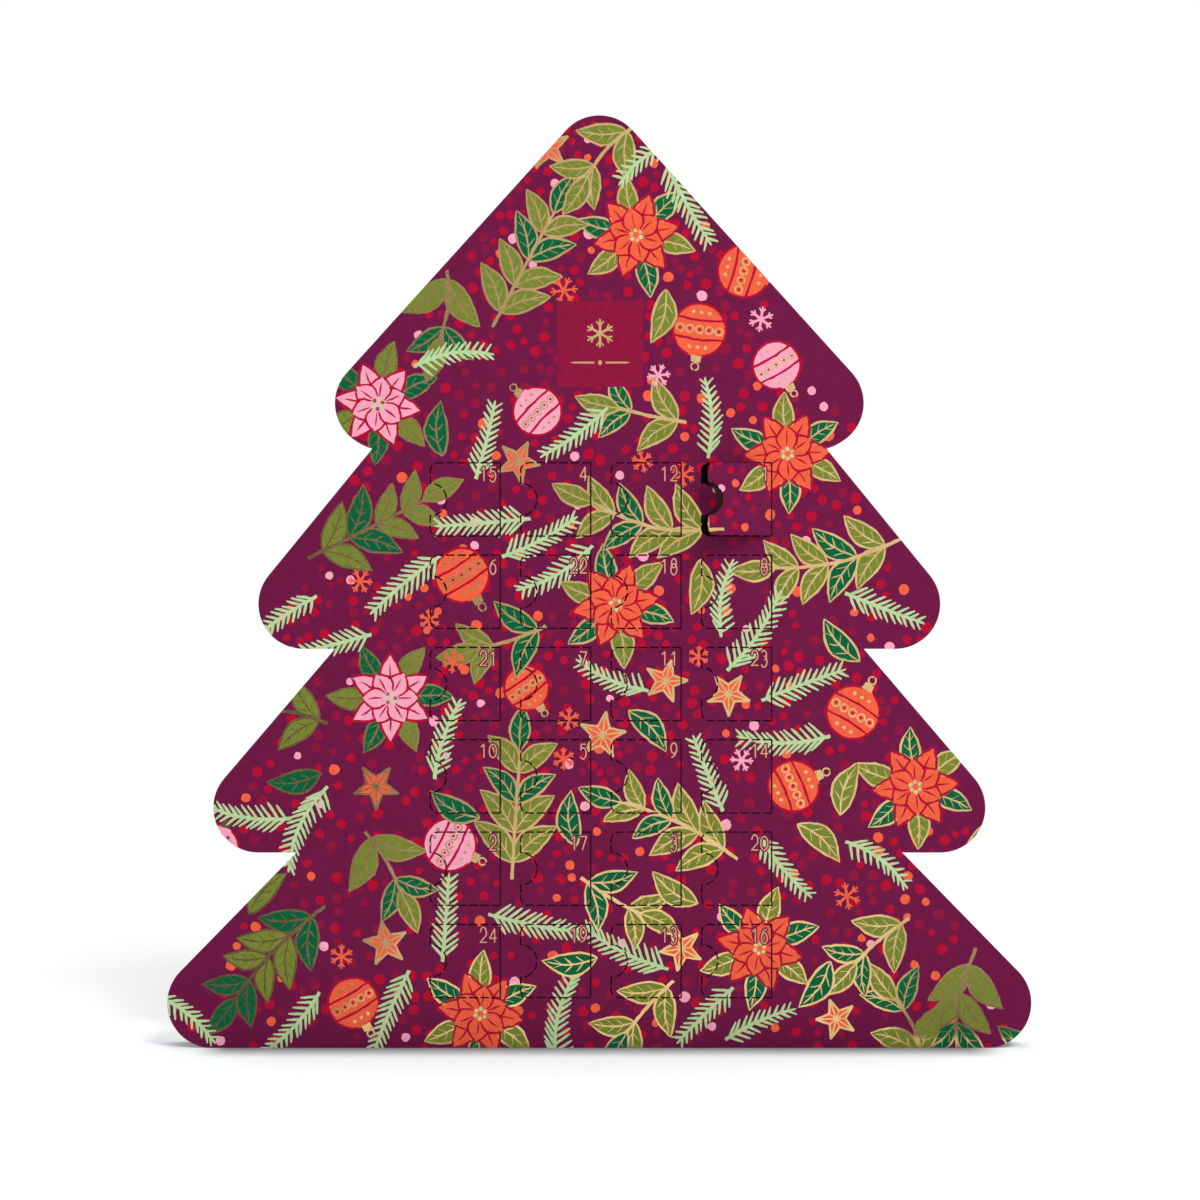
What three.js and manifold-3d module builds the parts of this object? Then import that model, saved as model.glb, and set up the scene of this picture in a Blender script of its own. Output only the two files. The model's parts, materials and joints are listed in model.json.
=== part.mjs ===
// A chocolate advent calendar in the form of a tiered fir tree: a shallow carton of printed
// board with twenty-four perforated doors, and behind them a moulded tray whose pockets hold
// one chocolate each. Millimetres, +Z up. The printed front faces -Y and the carton stands
// on its base, with the origin in the middle of the face that it stands on.
import * as THREE from "three";
import { mergeVertices } from "three/addons/utils/BufferGeometryUtils.js";
import Module from "manifold-3d";

const wasm = await Module();
wasm.setup();

// The carton
const HEIGHT = 401;
const DEPTH = 18;
const BOARD = 0.8; // thickness of the folding board
const GLUE_GAP = 0.3; // between two pieces that are glued or rest on each other
const TIP_RADIUS = 19.3; // the rounded tip of each tier and of the crown
const TIER_OVERLAP = 5; // a tier's slants run on this far inside the tier above

// The tiers from the ground up: half a tier's width from tip to tip, half its width at the
// neck, where it goes in under the tier above, and the height of its underside
const FIRST_HALF_WIDTH = 185.8;
const FIRST_NECK = 130.3;
const SECOND_UNDERSIDE = 84;
const SECOND_HALF_WIDTH = 166;
const SECOND_NECK = 113.7;
const THIRD_UNDERSIDE = 171.6;
const THIRD_HALF_WIDTH = 146.6;
const THIRD_NECK = 97.4;
const TOP_UNDERSIDE = 258;
const TOP_HALF_WIDTH = 113.7;
const TIERS = [
  { underside: 0, halfWidth: FIRST_HALF_WIDTH, neck: FIRST_NECK },
  { underside: SECOND_UNDERSIDE, halfWidth: SECOND_HALF_WIDTH, neck: SECOND_NECK },
  { underside: THIRD_UNDERSIDE, halfWidth: THIRD_HALF_WIDTH, neck: THIRD_NECK },
  { underside: TOP_UNDERSIDE, halfWidth: TOP_HALF_WIDTH },
];

// The glue tabs folded in from the side wall
const TAB_WIDTH = 8;
const TAB_MARGIN = 6; // bare wall at each end of a straight run

// The doors
const COLUMNS = 4;
const ROWS = 6;
const DOOR_WIDTH = 30.1; // from the crease to the cut line
const DOOR_HEIGHT = 31.5;
const DOOR_CORNER = 3.4;
const THUMB_RADIUS = 7;
const CUT_GAP = 0.3; // left by the cutting rule all round a door
const COLUMN_PITCH = 38.9;
const ROW_PITCH = 39.7;
const LOWEST_DOOR = 21.6; // height of the lowest row's cut line
const GRID_SHIFT = 0.7; // the grid stands this far right of the middle
const AJAR = THREE.MathUtils.degToRad(22);

// The number on each door, row by row from the top as seen from the front
const NUMBERS = [
  [15, 4, 12, 1],
  [6, 22, 18, 8],
  [21, 7, 11, 23],
  [10, 5, 9, 14],
  [2, 17, 3, 20],
  [24, 19, 13, 16],
];
const AJAR_DOOR = 1;

// The tray
const SHEET = 0.5; // thickness of the moulded plastic
const MOUTH_MARGIN = 1.4; // the mouth of a pocket stands back this far round the door's cut line
const MOUTH_CORNER = 6;
const LEAD_IN = 1; // width and depth of the eased rim
const DRAFT = THREE.MathUtils.degToRad(4);
const FLOOR_EASE = 1.6; // width and depth of the eased edge round the floor
const RIM = 5; // flat rim beyond the outermost pockets
const RIM_CORNER = 7;

// The chocolates
const CHOCOLATE_THICKNESS = 6.5;
const CHOCOLATE_CLEARANCE = 0.6; // round the flat back, to the edge of the pocket's floor
const CHOCOLATE_DRAFT = THREE.MathUtils.degToRad(12);
const CHOCOLATE_EDGE = 0.8; // bevel round the face
const RELIEF_HEIGHT = 1;
const RELIEF_SIZE = 17; // across the raised figure
const RELIEF_ROOT = 0.4; // the figure reaches this far into the chocolate

// Steps in the round stretches
const TIP_STEPS = 9;
const CORNER_STEPS = 3;
const THUMB_STEPS = 8;
const POCKET_CORNER_STEPS = 2;
const RELIEF_STEPS = 6;

// Planes from front to back that several pieces share
const FRONT = -DEPTH / 2;
const BACK = DEPTH / 2;
const PANEL_BACK = FRONT + BOARD;
const INSIDE_FRONT = PANEL_BACK + GLUE_GAP;
const INSIDE_BACK = BACK - BOARD - GLUE_GAP;
const POCKET_FLOOR = INSIDE_BACK - SHEET;

const printedBoard = new THREE.MeshStandardMaterial({ color: 0x6e1b46, roughness: 0.6 });
const plainBoard = new THREE.MeshStandardMaterial({ color: 0xd9d2c4, roughness: 0.85 });
const plastic = new THREE.MeshStandardMaterial({ color: 0xb98a3c, roughness: 0.25 });
const chocolate = new THREE.MeshStandardMaterial({ color: 0x4a2413, roughness: 0.45 });

const model = new THREE.Group();

// Points along an arc, both ends included; the angles are in radians and may run either way.
function arc(centreX, centreY, radius, from, to, steps) {
  return Array.from({ length: steps + 1 }, (_, i) => {
    const angle = from + ((to - from) * i) / steps;
    return new THREE.Vector2(centreX + radius * Math.cos(angle), centreY + radius * Math.sin(angle));
  });
}

// The upward and outward normal of the line that touches two round ends on their right side;
// an end of no radius is a corner.
function touchingNormal(low, lowRadius, high, highRadius) {
  const along = high.clone().sub(low);
  const turn = Math.acos((lowRadius - highRadius) / along.length());
  return along.normalize().rotateAround(new THREE.Vector2(), -turn);
}

// The right side of one tier seen from the front, with its edges moved inward by inset: the
// rounded tip, the straight slant as a pair of points, and where the outline goes on from it.
function tierSide(level, inset) {
  const tier = TIERS[level];
  const above = TIERS[level + 1];
  const crown = new THREE.Vector2(0, HEIGHT - TIP_RADIUS);
  const tip = new THREE.Vector2(tier.halfWidth - TIP_RADIUS, tier.underside + TIP_RADIUS);
  const neck = above && new THREE.Vector2(tier.neck, above.underside);
  const normal = touchingNormal(tip, TIP_RADIUS, neck ?? crown, neck ? 0 : TIP_RADIUS);
  const radius = TIP_RADIUS - inset;
  const round = arc(tip.x, tip.y, radius, -Math.PI / 2, normal.angle(), TIP_STEPS);
  const top = neck
    ? neck.clone().addScaledVector(normal, -inset)
    : crown.clone().addScaledVector(normal, radius);
  const slant = [round.at(-1), top];
  const climb = top.clone().sub(slant[0]).normalize().multiplyScalar(TIER_OVERLAP);
  const end = neck
    ? [top.clone().add(climb)]
    : arc(0, crown.y, radius, normal.angle(), Math.PI / 2, TIP_STEPS);
  return { round, slant, end };
}

const mirrored = (points) => points.map((p) => new THREE.Vector2(-p.x, p.y)).reverse();

// The whole tree as a flat piece between two planes of Y: each tier runs up into the next.
function treePlate(inset, near, far) {
  return TIERS.map((_, level) => {
    const { round, end } = tierSide(level, inset);
    const right = [...round, ...end];
    const left = mirrored(right).filter((p) => p.x < 0);
    return solid(plate([...right, ...left], near, far));
  }).reduce((tree, tier) => tree.add(tier));
}

// The outline's long straight runs, counterclockwise: the foot, then each tier's two slants.
function straightRuns(inset) {
  const [footEnd] = tierSide(0, inset).round;
  const foot = [...mirrored([footEnd]), footEnd];
  const slants = TIERS.map((_, level) => tierSide(level, inset).slant);
  return [foot, ...slants, ...slants.map(mirrored)];
}

// A door's outline seen from the front, with the crease at x = 0 and the lower cut line at
// y = 0, each edge moved outward by grow. The free edge, on the left, goes round the thumb tab.
function doorOutline(grow) {
  const left = -DOOR_WIDTH;
  const middle = DOOR_HEIGHT / 2;
  const corner = DOOR_CORNER;
  const thumb = THUMB_RADIUS - grow;
  const thumbStart = Math.acos(-grow / thumb);
  const round = corner + grow;
  return [
    new THREE.Vector2(grow, -grow),
    new THREE.Vector2(grow, DOOR_HEIGHT + grow),
    ...arc(left + corner, DOOR_HEIGHT - corner, round, Math.PI / 2, Math.PI, CORNER_STEPS),
    ...arc(left, middle, thumb, thumbStart, -thumbStart, THUMB_STEPS),
    ...arc(left + corner, corner, round, Math.PI, 1.5 * Math.PI, CORNER_STEPS),
  ];
}

// Each door's place: its number, the crease's x and the height of its lower cut line.
function doorPlaces() {
  const gridWidth = (COLUMNS - 1) * COLUMN_PITCH + DOOR_WIDTH;
  const firstCrease = GRID_SHIFT - gridWidth / 2 + DOOR_WIDTH;
  return NUMBERS.flatMap((row, fromTop) =>
    row.map((number, column) => ({
      number,
      crease: firstCrease + column * COLUMN_PITCH,
      bottom: LOWEST_DOOR + (ROWS - 1 - fromTop) * ROW_PITCH,
    })),
  );
}

// A flat piece with the given outline, seen from the front, between two planes of Y.
function plate(points, near, far) {
  const shape = new THREE.Shape(points);
  const geometry = new THREE.ExtrudeGeometry(shape, { depth: far - near, bevelEnabled: false });
  return geometry.rotateX(Math.PI / 2).translate(0, far, 0);
}


// A rectangle with round corners about the origin, as points seen from the front.
function roundedRectangle(width, height, radius, steps) {
  const x = width / 2 - radius;
  const y = height / 2 - radius;
  return [
    ...arc(x, y, radius, 0, Math.PI / 2, steps),
    ...arc(-x, y, radius, Math.PI / 2, Math.PI, steps),
    ...arc(-x, -y, radius, Math.PI, 1.5 * Math.PI, steps),
    ...arc(x, -y, radius, 1.5 * Math.PI, 2 * Math.PI, steps),
  ];
}

// A closed solid through rounded rectangles, given from front to back as their plane of Y,
// width, height and corner radius.
function loft(sections) {
  const loops = sections.map(({ at, width, height, radius }) =>
    roundedRectangle(width, height, radius, POCKET_CORNER_STEPS).map((p) => [p.x, at, p.y]),
  );
  const count = loops[0].length;
  const index = [];
  for (let ring = 0; ring + 1 < loops.length; ring++) {
    for (let i = 0; i < count; i++) {
      const near = ring * count + i;
      const nearNext = ring * count + ((i + 1) % count);
      index.push(near, near + count, nearNext, nearNext, near + count, nearNext + count);
    }
  }
  const last = (loops.length - 1) * count;
  for (let i = 1; i + 1 < count; i++) {
    index.push(0, i, i + 1);
    index.push(last, last + i + 1, last + i);
  }
  const geometry = new THREE.BufferGeometry();
  geometry.setAttribute("position", new THREE.Float32BufferAttribute(loops.flat(2), 3));
  return geometry.setIndex(index);
}

function solid(geometry) {
  const bare = geometry.clone();
  bare.deleteAttribute("normal");
  bare.deleteAttribute("uv");
  const merged = mergeVertices(bare, 1e-4);
  return new wasm.Manifold(
    new wasm.Mesh({
      numProp: 3,
      vertProperties: new Float32Array(merged.attributes.position.array),
      triVerts: new Uint32Array(merged.index.array),
    }),
  );
}

function geometryOf(body) {
  const mesh = body.getMesh();
  const geometry = new THREE.BufferGeometry();
  geometry.setAttribute("position", new THREE.BufferAttribute(mesh.vertProperties, 3));
  geometry.setIndex(new THREE.BufferAttribute(mesh.triVerts, 1));
  geometry.computeVertexNormals();
  return geometry;
}

function add(name, geometry, material) {
  const mesh = new THREE.Mesh(geometry, material);
  mesh.name = name;
  model.add(mesh);
  return mesh;
}

const named = (kind, number) => `${kind}_${String(number).padStart(2, "0")}`;

// The printed front, die-cut all round each door
function frontPanel(places) {
  const cutter = solid(plate(doorOutline(CUT_GAP / 2), FRONT - BOARD, PANEL_BACK + BOARD));
  return places.reduce(
    (body, { crease, bottom }) => body.subtract(cutter.translate([crease, 0, bottom])),
    treePlate(0, FRONT, PANEL_BACK),
  );
}

// A door turns about the crease, which lies in the front face.
function door({ number, crease, bottom }) {
  const mesh = add(named("door", number), plate(doorOutline(-CUT_GAP / 2), 0, BOARD), printedBoard);
  mesh.position.set(crease, FRONT, bottom);
  mesh.rotation.z = number === AJAR_DOOR ? AJAR : 0;
}

// A glue tab along one straight run of the wall's inner face, its ends cut back at 45 degrees
// and its root in the wall.
function tabOutline([from, to]) {
  const along = to.clone().sub(from).normalize();
  const inward = new THREE.Vector2(-along.y, along.x);
  const at = (base, forward, sideways) =>
    base.clone().addScaledVector(along, forward).addScaledVector(inward, sideways);
  return [
    at(from, TAB_MARGIN, -BOARD / 2),
    at(to, -TAB_MARGIN, -BOARD / 2),
    at(to, -TAB_MARGIN, 0),
    at(to, -TAB_MARGIN - TAB_WIDTH, TAB_WIDTH),
    at(from, TAB_MARGIN + TAB_WIDTH, TAB_WIDTH),
    at(from, TAB_MARGIN, 0),
  ];
}

// The band that goes round the carton, with a row of glue tabs behind the front and another
// before the back
function sideWall() {
  const inside = treePlate(BOARD, INSIDE_FRONT - BOARD, INSIDE_BACK + BOARD);
  const band = treePlate(0, INSIDE_FRONT, INSIDE_BACK).subtract(inside);
  return straightRuns(BOARD).map(tabOutline).reduce(
    (body, tab) =>
      body
        .add(solid(plate(tab, INSIDE_FRONT, INSIDE_FRONT + BOARD)))
        .add(solid(plate(tab, INSIDE_BACK - BOARD, INSIDE_BACK))),
    band,
  );
}

// The width of a pocket's mouth, and how much it has narrowed by draft at a depth below it
const MOUTH_WIDTH = DOOR_WIDTH + 2 * MOUTH_MARGIN;
const MOUTH_HEIGHT = DOOR_HEIGHT + 2 * MOUTH_MARGIN;
const POCKET_DEPTH = POCKET_FLOOR - INSIDE_FRONT;
const narrowing = (depth) => Math.tan(DRAFT) * depth;

// One section of a pocket: the mouth taken in by some amount on every side
function pocketSection(at, taken) {
  return {
    at,
    width: MOUTH_WIDTH - 2 * taken,
    height: MOUTH_HEIGHT - 2 * taken,
    radius: MOUTH_CORNER - Math.min(taken, MOUTH_CORNER / 2),
  };
}

// The flat floor of a pocket, inside its eased edge
const FLOOR = pocketSection(POCKET_FLOOR, narrowing(POCKET_DEPTH) + FLOOR_EASE);

// A pocket's inner skin, carried on past the rim so that it cuts through; the outer skin is
// the same form moved out by the sheet's thickness.
function pocket(skin) {
  const easeTop = POCKET_DEPTH - FLOOR_EASE;
  const start = skin ? INSIDE_FRONT + SHEET / 2 : INSIDE_FRONT - LEAD_IN;
  return loft([
    pocketSection(start, -LEAD_IN - skin),
    pocketSection(INSIDE_FRONT + skin, -LEAD_IN - skin),
    pocketSection(INSIDE_FRONT + LEAD_IN + skin, -skin),
    pocketSection(INSIDE_FRONT + easeTop + skin / 2, narrowing(easeTop) - skin),
    pocketSection(POCKET_FLOOR + skin, narrowing(POCKET_DEPTH) + FLOOR_EASE - skin / 2),
  ]);
}

const pocketCentre = ({ crease, bottom }) => [crease - DOOR_WIDTH / 2, 0, bottom + DOOR_HEIGHT / 2];

// The moulded tray: a flat rim with a drafted pocket behind each door
function tray(places) {
  const width = (COLUMNS - 1) * COLUMN_PITCH + MOUTH_WIDTH + 2 * (LEAD_IN + RIM);
  const height = (ROWS - 1) * ROW_PITCH + MOUTH_HEIGHT + 2 * (LEAD_IN + RIM);
  const middle = LOWEST_DOOR + ((ROWS - 1) * ROW_PITCH + DOOR_HEIGHT) / 2;
  const rim = plate(
    roundedRectangle(width, height, RIM_CORNER, CORNER_STEPS),
    INSIDE_FRONT,
    INSIDE_FRONT + SHEET,
  ).translate(GRID_SHIFT, 0, middle);
  const outer = solid(pocket(SHEET));
  const inner = solid(pocket(0));
  const raised = places.reduce((body, p) => body.add(outer.translate(pocketCentre(p))), solid(rim));
  return places.reduce((body, p) => body.subtract(inner.translate(pocketCentre(p))), raised);
}

// The tray is parted along the middle of the rim between two rows of pockets, counted from the
// ground up. A strip runs from one parting to the next, the outer two on to the tray's edge.
function trayStrip(whole, row) {
  const parting = (below) => LOWEST_DOOR + DOOR_HEIGHT / 2 + (below - 0.5) * ROW_PITCH;
  const beyond = RIM + ROW_PITCH;
  const low = row === 0 ? parting(row) - beyond : parting(row) + GLUE_GAP / 2;
  const high = row === ROWS - 1 ? parting(row + 1) + beyond : parting(row + 1) - GLUE_GAP / 2;
  const reach = COLUMNS * COLUMN_PITCH;
  const band = [
    new THREE.Vector2(GRID_SHIFT - reach, low),
    new THREE.Vector2(GRID_SHIFT + reach, low),
    new THREE.Vector2(GRID_SHIFT + reach, high),
    new THREE.Vector2(GRID_SHIFT - reach, high),
  ];
  return whole.intersect(solid(plate(band, INSIDE_FRONT - SHEET, INSIDE_BACK)));
}

// Figures raised on the chocolates, each about the origin and as tall as one unit
const HALF_TURN = Math.PI;

function star() {
  return Array.from({ length: 10 }, (_, i) => {
    const reach = i % 2 ? 0.21 : 0.5;
    return new THREE.Vector2(0, reach).rotateAround(new THREE.Vector2(), (i * HALF_TURN) / 5);
  });
}

function fir() {
  const right = [
    [0.07, -0.5],
    [0.07, -0.36],
    [0.36, -0.36],
    [0.16, -0.08],
    [0.27, -0.08],
    [0.1, 0.2],
    [0.17, 0.2],
  ].map(([x, y]) => new THREE.Vector2(x, y));
  const left = right.map((p) => new THREE.Vector2(-p.x, p.y)).reverse();
  return [...right, new THREE.Vector2(0, 0.5), ...left];
}

function heart() {
  const lobe = 0.22;
  const slant = HALF_TURN / 5;
  return [
    ...arc(lobe, 0.2, lobe, -slant, HALF_TURN, RELIEF_STEPS),
    ...arc(-lobe, 0.2, lobe, 0, HALF_TURN + slant, RELIEF_STEPS).slice(1),
    new THREE.Vector2(0, -0.42),
  ];
}

function bell() {
  return [
    ...arc(0, 0.12, 0.22, 0, HALF_TURN, RELIEF_STEPS),
    new THREE.Vector2(-0.25, -0.12),
    new THREE.Vector2(-0.38, -0.3),
    new THREE.Vector2(-0.12, -0.3),
    ...arc(0, -0.3, 0.12, HALF_TURN, 2 * HALF_TURN, RELIEF_STEPS).slice(1),
    new THREE.Vector2(0.38, -0.3),
    new THREE.Vector2(0.25, -0.12),
  ];
}

const FIGURES = [star, fir, heart, bell];

// One chocolate, its flat back on the pocket's floor and its face, with a raised figure,
// toward the door
function chocolatePiece(figure) {
  const back = POCKET_FLOOR - GLUE_GAP;
  const face = back - CHOCOLATE_THICKNESS;
  const section = (at, taken) => ({
    at,
    width: FLOOR.width - 2 * (CHOCOLATE_CLEARANCE + taken),
    height: FLOOR.height - 2 * (CHOCOLATE_CLEARANCE + taken),
    radius: FLOOR.radius - taken / 2,
  });
  const sides = Math.tan(CHOCOLATE_DRAFT) * (CHOCOLATE_THICKNESS - CHOCOLATE_EDGE);
  const body = loft([
    section(face, sides + CHOCOLATE_EDGE),
    section(face + CHOCOLATE_EDGE, sides),
    section(back, 0),
  ]);
  const outline = figure().map((p) => p.multiplyScalar(RELIEF_SIZE));
  const relief = plate(outline, face - RELIEF_HEIGHT, face + RELIEF_ROOT);
  return solid(body).add(solid(relief));
}

const places = doorPlaces();
add("front_panel", geometryOf(frontPanel(places)), printedBoard);
places.forEach(door);
add("side_wall", geometryOf(sideWall()), plainBoard);
add("back_panel", geometryOf(treePlate(0, INSIDE_BACK + GLUE_GAP, BACK)), plainBoard);
const blister = tray(places);
for (let row = 0; row < ROWS; row++) {
  add(`tray_row_${row + 1}`, geometryOf(trayStrip(blister, row)), plastic);
}
places.forEach((place) => {
  const figure = FIGURES[place.number % FIGURES.length];
  const body = chocolatePiece(figure).translate(pocketCentre(place));
  add(named("chocolate", place.number), geometryOf(body), chocolate);
});

export default model;
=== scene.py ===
# %% [markdown]
# # A fir-tree advent calendar
#
# The object is a shallow carton of printed board, cut to the outline of a four-tiered fir tree.
# Its front has twenty-four perforated doors, and each opens onto a pocket of a moulded tray that
# holds a chocolate. The solids already exist at their real size, so this lesson only makes their
# looks: a crisp printed front, cut and folded board, glossy plastic and chocolate. We first load
# the solids as a fixed frame.

# %% Load the frame
import json
import math
import random

import bmesh
import bpy
import numpy as np
from mathutils import Matrix, Vector, noise
from mathutils.geometry import delaunay_2d_cdt


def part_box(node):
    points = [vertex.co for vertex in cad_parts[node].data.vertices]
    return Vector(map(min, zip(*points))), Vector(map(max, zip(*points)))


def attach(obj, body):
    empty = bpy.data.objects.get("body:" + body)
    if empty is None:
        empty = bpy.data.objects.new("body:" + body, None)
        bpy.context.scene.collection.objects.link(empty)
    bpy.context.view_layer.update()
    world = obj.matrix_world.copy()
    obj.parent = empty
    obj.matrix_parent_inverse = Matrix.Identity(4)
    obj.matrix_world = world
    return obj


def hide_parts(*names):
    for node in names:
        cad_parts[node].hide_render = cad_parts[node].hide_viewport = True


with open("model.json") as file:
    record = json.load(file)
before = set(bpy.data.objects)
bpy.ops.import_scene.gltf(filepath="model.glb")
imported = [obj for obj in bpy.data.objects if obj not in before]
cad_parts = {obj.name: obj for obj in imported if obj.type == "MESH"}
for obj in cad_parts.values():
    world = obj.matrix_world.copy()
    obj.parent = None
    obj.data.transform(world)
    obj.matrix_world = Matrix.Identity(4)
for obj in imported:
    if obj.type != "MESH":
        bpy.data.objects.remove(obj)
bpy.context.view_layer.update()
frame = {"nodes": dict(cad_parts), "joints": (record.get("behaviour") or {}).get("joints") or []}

print("solids:", len(frame["nodes"]))

# %% [markdown]
# ## The plane of the print
#
# Everything on the front is flat artwork, so it is drawn in two dimensions: x to the right and z
# up, in millimetres, as a printer's file would be. The sizes come from the frame. A door's crease
# is its joint's axis, and the boxes of the boards give the planes between which each one lies.

# %% Sizes from the frame
MM = 0.001
front_low, front_high = (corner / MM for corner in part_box("front_panel"))
back_low, _ = (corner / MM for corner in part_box("back_panel"))
FRONT = front_low.y
BOARD = front_high.y - front_low.y
PANEL_BACK = FRONT + BOARD
BACK_FRONT = back_low.y
HEIGHT = front_high.z
CUT_GAP = 0.3
AJAR_DOOR = 1
AJAR = math.radians(22)
QUARTER, HALF_TURN = math.pi / 2, math.pi
CORNER_SIGNS = ((-1, -1), (1, -1), (1, 1), (-1, 1))
TINY = 1e-6

creases = {}
for joint in frame["joints"]:
    number = int(joint["child"].split("_")[1])
    creases[number] = (joint["pos_m"][0] / MM, joint["pos_m"][2] / MM)
door_low, door_high = (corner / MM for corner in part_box("door_02"))
DOOR_WIDTH = door_high.x - door_low.x + CUT_GAP
DOOR_HEIGHT = door_high.z - door_low.z + CUT_GAP
print("board", round(BOARD, 2), "mm")
print("doors", round(DOOR_WIDTH, 1), "by", round(DOOR_HEIGHT, 1), "mm")

# %% [markdown]
# ## Outlines
#
# The tree is a stack of four tiers with rounded tips. Each tier is drawn as its own closed
# polygon that runs up into the next, and whatever lies in any of them is board: the computer
# joins them later. A straight slant that touches a round tip leaves it where the radius is
# square to the slant, so one small function finds that direction.

# %% The four tiers
TIP_RADIUS = 19.3
TIER_OVERLAP = 5
TIERS = [
    {"underside": 0, "half_width": 185.8, "neck": 130.3},
    {"underside": 84, "half_width": 166, "neck": 113.7},
    {"underside": 171.6, "half_width": 146.6, "neck": 97.4},
    {"underside": 258, "half_width": 113.7},
]
TIP_STEPS = 24


def arc(centre_x, centre_z, radius, start, end, steps):
    angles = [start + (end - start) * i / steps for i in range(steps + 1)]
    return [(centre_x + radius * math.cos(a), centre_z + radius * math.sin(a)) for a in angles]


def touching_angle(low, low_radius, high, high_radius):
    """Direction of the outward normal of the line that touches two round ends on their right."""
    along = Vector(high) - Vector(low)
    return math.atan2(along.y, along.x) - math.acos((low_radius - high_radius) / along.length)


def tier_outline(level, inset=0.0):
    """One tier as a closed polygon, counterclockwise as seen from the front."""
    tier = TIERS[level]
    radius = TIP_RADIUS - inset
    tip = (tier["half_width"] - TIP_RADIUS, tier["underside"] + TIP_RADIUS)
    crown = (0, HEIGHT - TIP_RADIUS)
    if level + 1 < len(TIERS):
        neck = Vector((tier["neck"], TIERS[level + 1]["underside"]))
        angle = touching_angle(tip, TIP_RADIUS, neck, 0)
        outward = Vector((math.cos(angle), math.sin(angle)))
        climb = Vector((-outward.y, outward.x)) * TIER_OVERLAP
        upper = [tuple(neck - outward * inset + climb)]
    else:
        angle = touching_angle(tip, TIP_RADIUS, crown, TIP_RADIUS)
        upper = arc(*crown, radius, angle, QUARTER, TIP_STEPS)
    right = arc(*tip, radius, -QUARTER, angle, TIP_STEPS) + upper
    return right + [(-x, z) for x, z in reversed(right) if x > TINY]


def tree_outlines(inset=0.0):
    return [tier_outline(level, inset) for level in range(len(TIERS))]


tree_tiers = tree_outlines()
print("tier outlines:", [len(points) for points in tree_tiers], "points")

# %% [markdown]
# ## Doors with a torn-paper edge
#
# A perforation is a row of slits with small uncut nicks between them. The nicks are what holds
# a door shut, and when it is opened they tear. So each nick is drawn as two half teeth that meet
# in the middle of the cut, one on the door and one on the panel. Closed, they all but touch, a
# hair apart so that the door swings free, and open, both edges show the little stubs that a torn
# perforation leaves. The outline is offset at every corner along its mitre, which keeps the cut
# equally wide all round.

# %% Door outlines with nicks
DOOR_CORNER = 3.4
THUMB_RADIUS = 7.0
SLIT = 3.65
NICK = 1.2
HALF_GAP = CUT_GAP / 2
HAIR = 0.01
LONGEST_MITRE = 2.2
CORNER_BENDS, THUMB_BENDS = 6, 20


def mitres(points):
    """At each corner of a closed counterclockwise polygon, the way that its edges move outward."""
    found = []
    for i, point in enumerate(points):
        before = (Vector(point) - Vector(points[i - 1])).normalized()
        after = (Vector(points[(i + 1) % len(points)]) - Vector(point)).normalized()
        first, second = Vector((before.y, -before.x)), Vector((after.y, -after.x))
        way = (first + second) / max(TINY, 1 + first.dot(second))
        found.append(way * min(1, LONGEST_MITRE / max(TINY, way.length)))
    return found


def perforated_path():
    """The middle of the cut from the top of the crease round to its foot, the crease at x = 0."""
    left, middle = -DOOR_WIDTH, DOOR_HEIGHT / 2
    x, high, low = left + DOOR_CORNER, DOOR_HEIGHT - DOOR_CORNER, DOOR_CORNER
    return [
        (0.0, DOOR_HEIGHT),
        *arc(x, high, DOOR_CORNER, QUARTER, HALF_TURN, CORNER_BENDS),
        *arc(left, middle, THUMB_RADIUS, QUARTER, -QUARTER, THUMB_BENDS),
        *arc(x, low, DOOR_CORNER, HALF_TURN, 3 * QUARTER, CORNER_BENDS),
        (0.0, 0.0),
    ]


def cut_marks():
    """Points along the cut, each with True where a nick starts, False where it ends, else None."""
    path = perforated_path()
    lengths = [0.0]
    for a, b in zip(path, path[1:]):
        lengths.append(lengths[-1] + math.dist(a, b))
    total = lengths[-1]
    slits = round((total + NICK) / (SLIT + NICK))
    slit = (total - (slits - 1) * NICK) / slits
    edges = [k * (slit + NICK) + part for k in range(slits - 1) for part in (slit, slit + NICK)]
    marks = [(s, None) for s in lengths] + [(s, i % 2 == 0) for i, s in enumerate(edges)]
    marks.sort(key=lambda mark: mark[0])
    placed, segment = [], 0
    for distance, enters in marks:
        while segment + 2 < len(lengths) and distance > lengths[segment + 1]:
            segment += 1
        share = (distance - lengths[segment]) / (lengths[segment + 1] - lengths[segment])
        placed.append((tuple(Vector(path[segment]).lerp(Vector(path[segment + 1]), share)), enters))
    return placed


def door_outline(grow):
    """A door's outline, or with grow above 0 its hole's, with a half tooth at every nick."""
    placed, growth, in_nick = cut_marks(), [], False
    tooth = math.copysign(HAIR, grow)
    for _, enters in placed:
        if enters is None:
            growth.append((tooth if in_nick else grow,))
        else:
            growth.append((grow, tooth) if enters else (tooth, grow))
            in_nick = enters
    points = [point for point, _ in placed]
    return [tuple(Vector(point) + way * amount)
            for point, way, amounts in zip(points, mitres(points), growth) for amount in amounts]


door_cut = door_outline(-HALF_GAP)
hole_cut = door_outline(HALF_GAP)
print("door outline:", len(door_cut), "points")

# %% [markdown]
# A steel rule cuts the slits, and the dark of each cut is painted: a narrow band over the cut in a
# dark tone, printed last, is painted shade that the eye reads as the dashed line. The crease gets
# the same painted shade on both sides of its groove.

# %% Painted shade along the cut
# How far the painted shade reaches on each side of a cut, in mm.
CUT_SHADE_REACH = 0.19


# Dark bands of painted shade over the slits of one door and on both sides of its crease.
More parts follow.
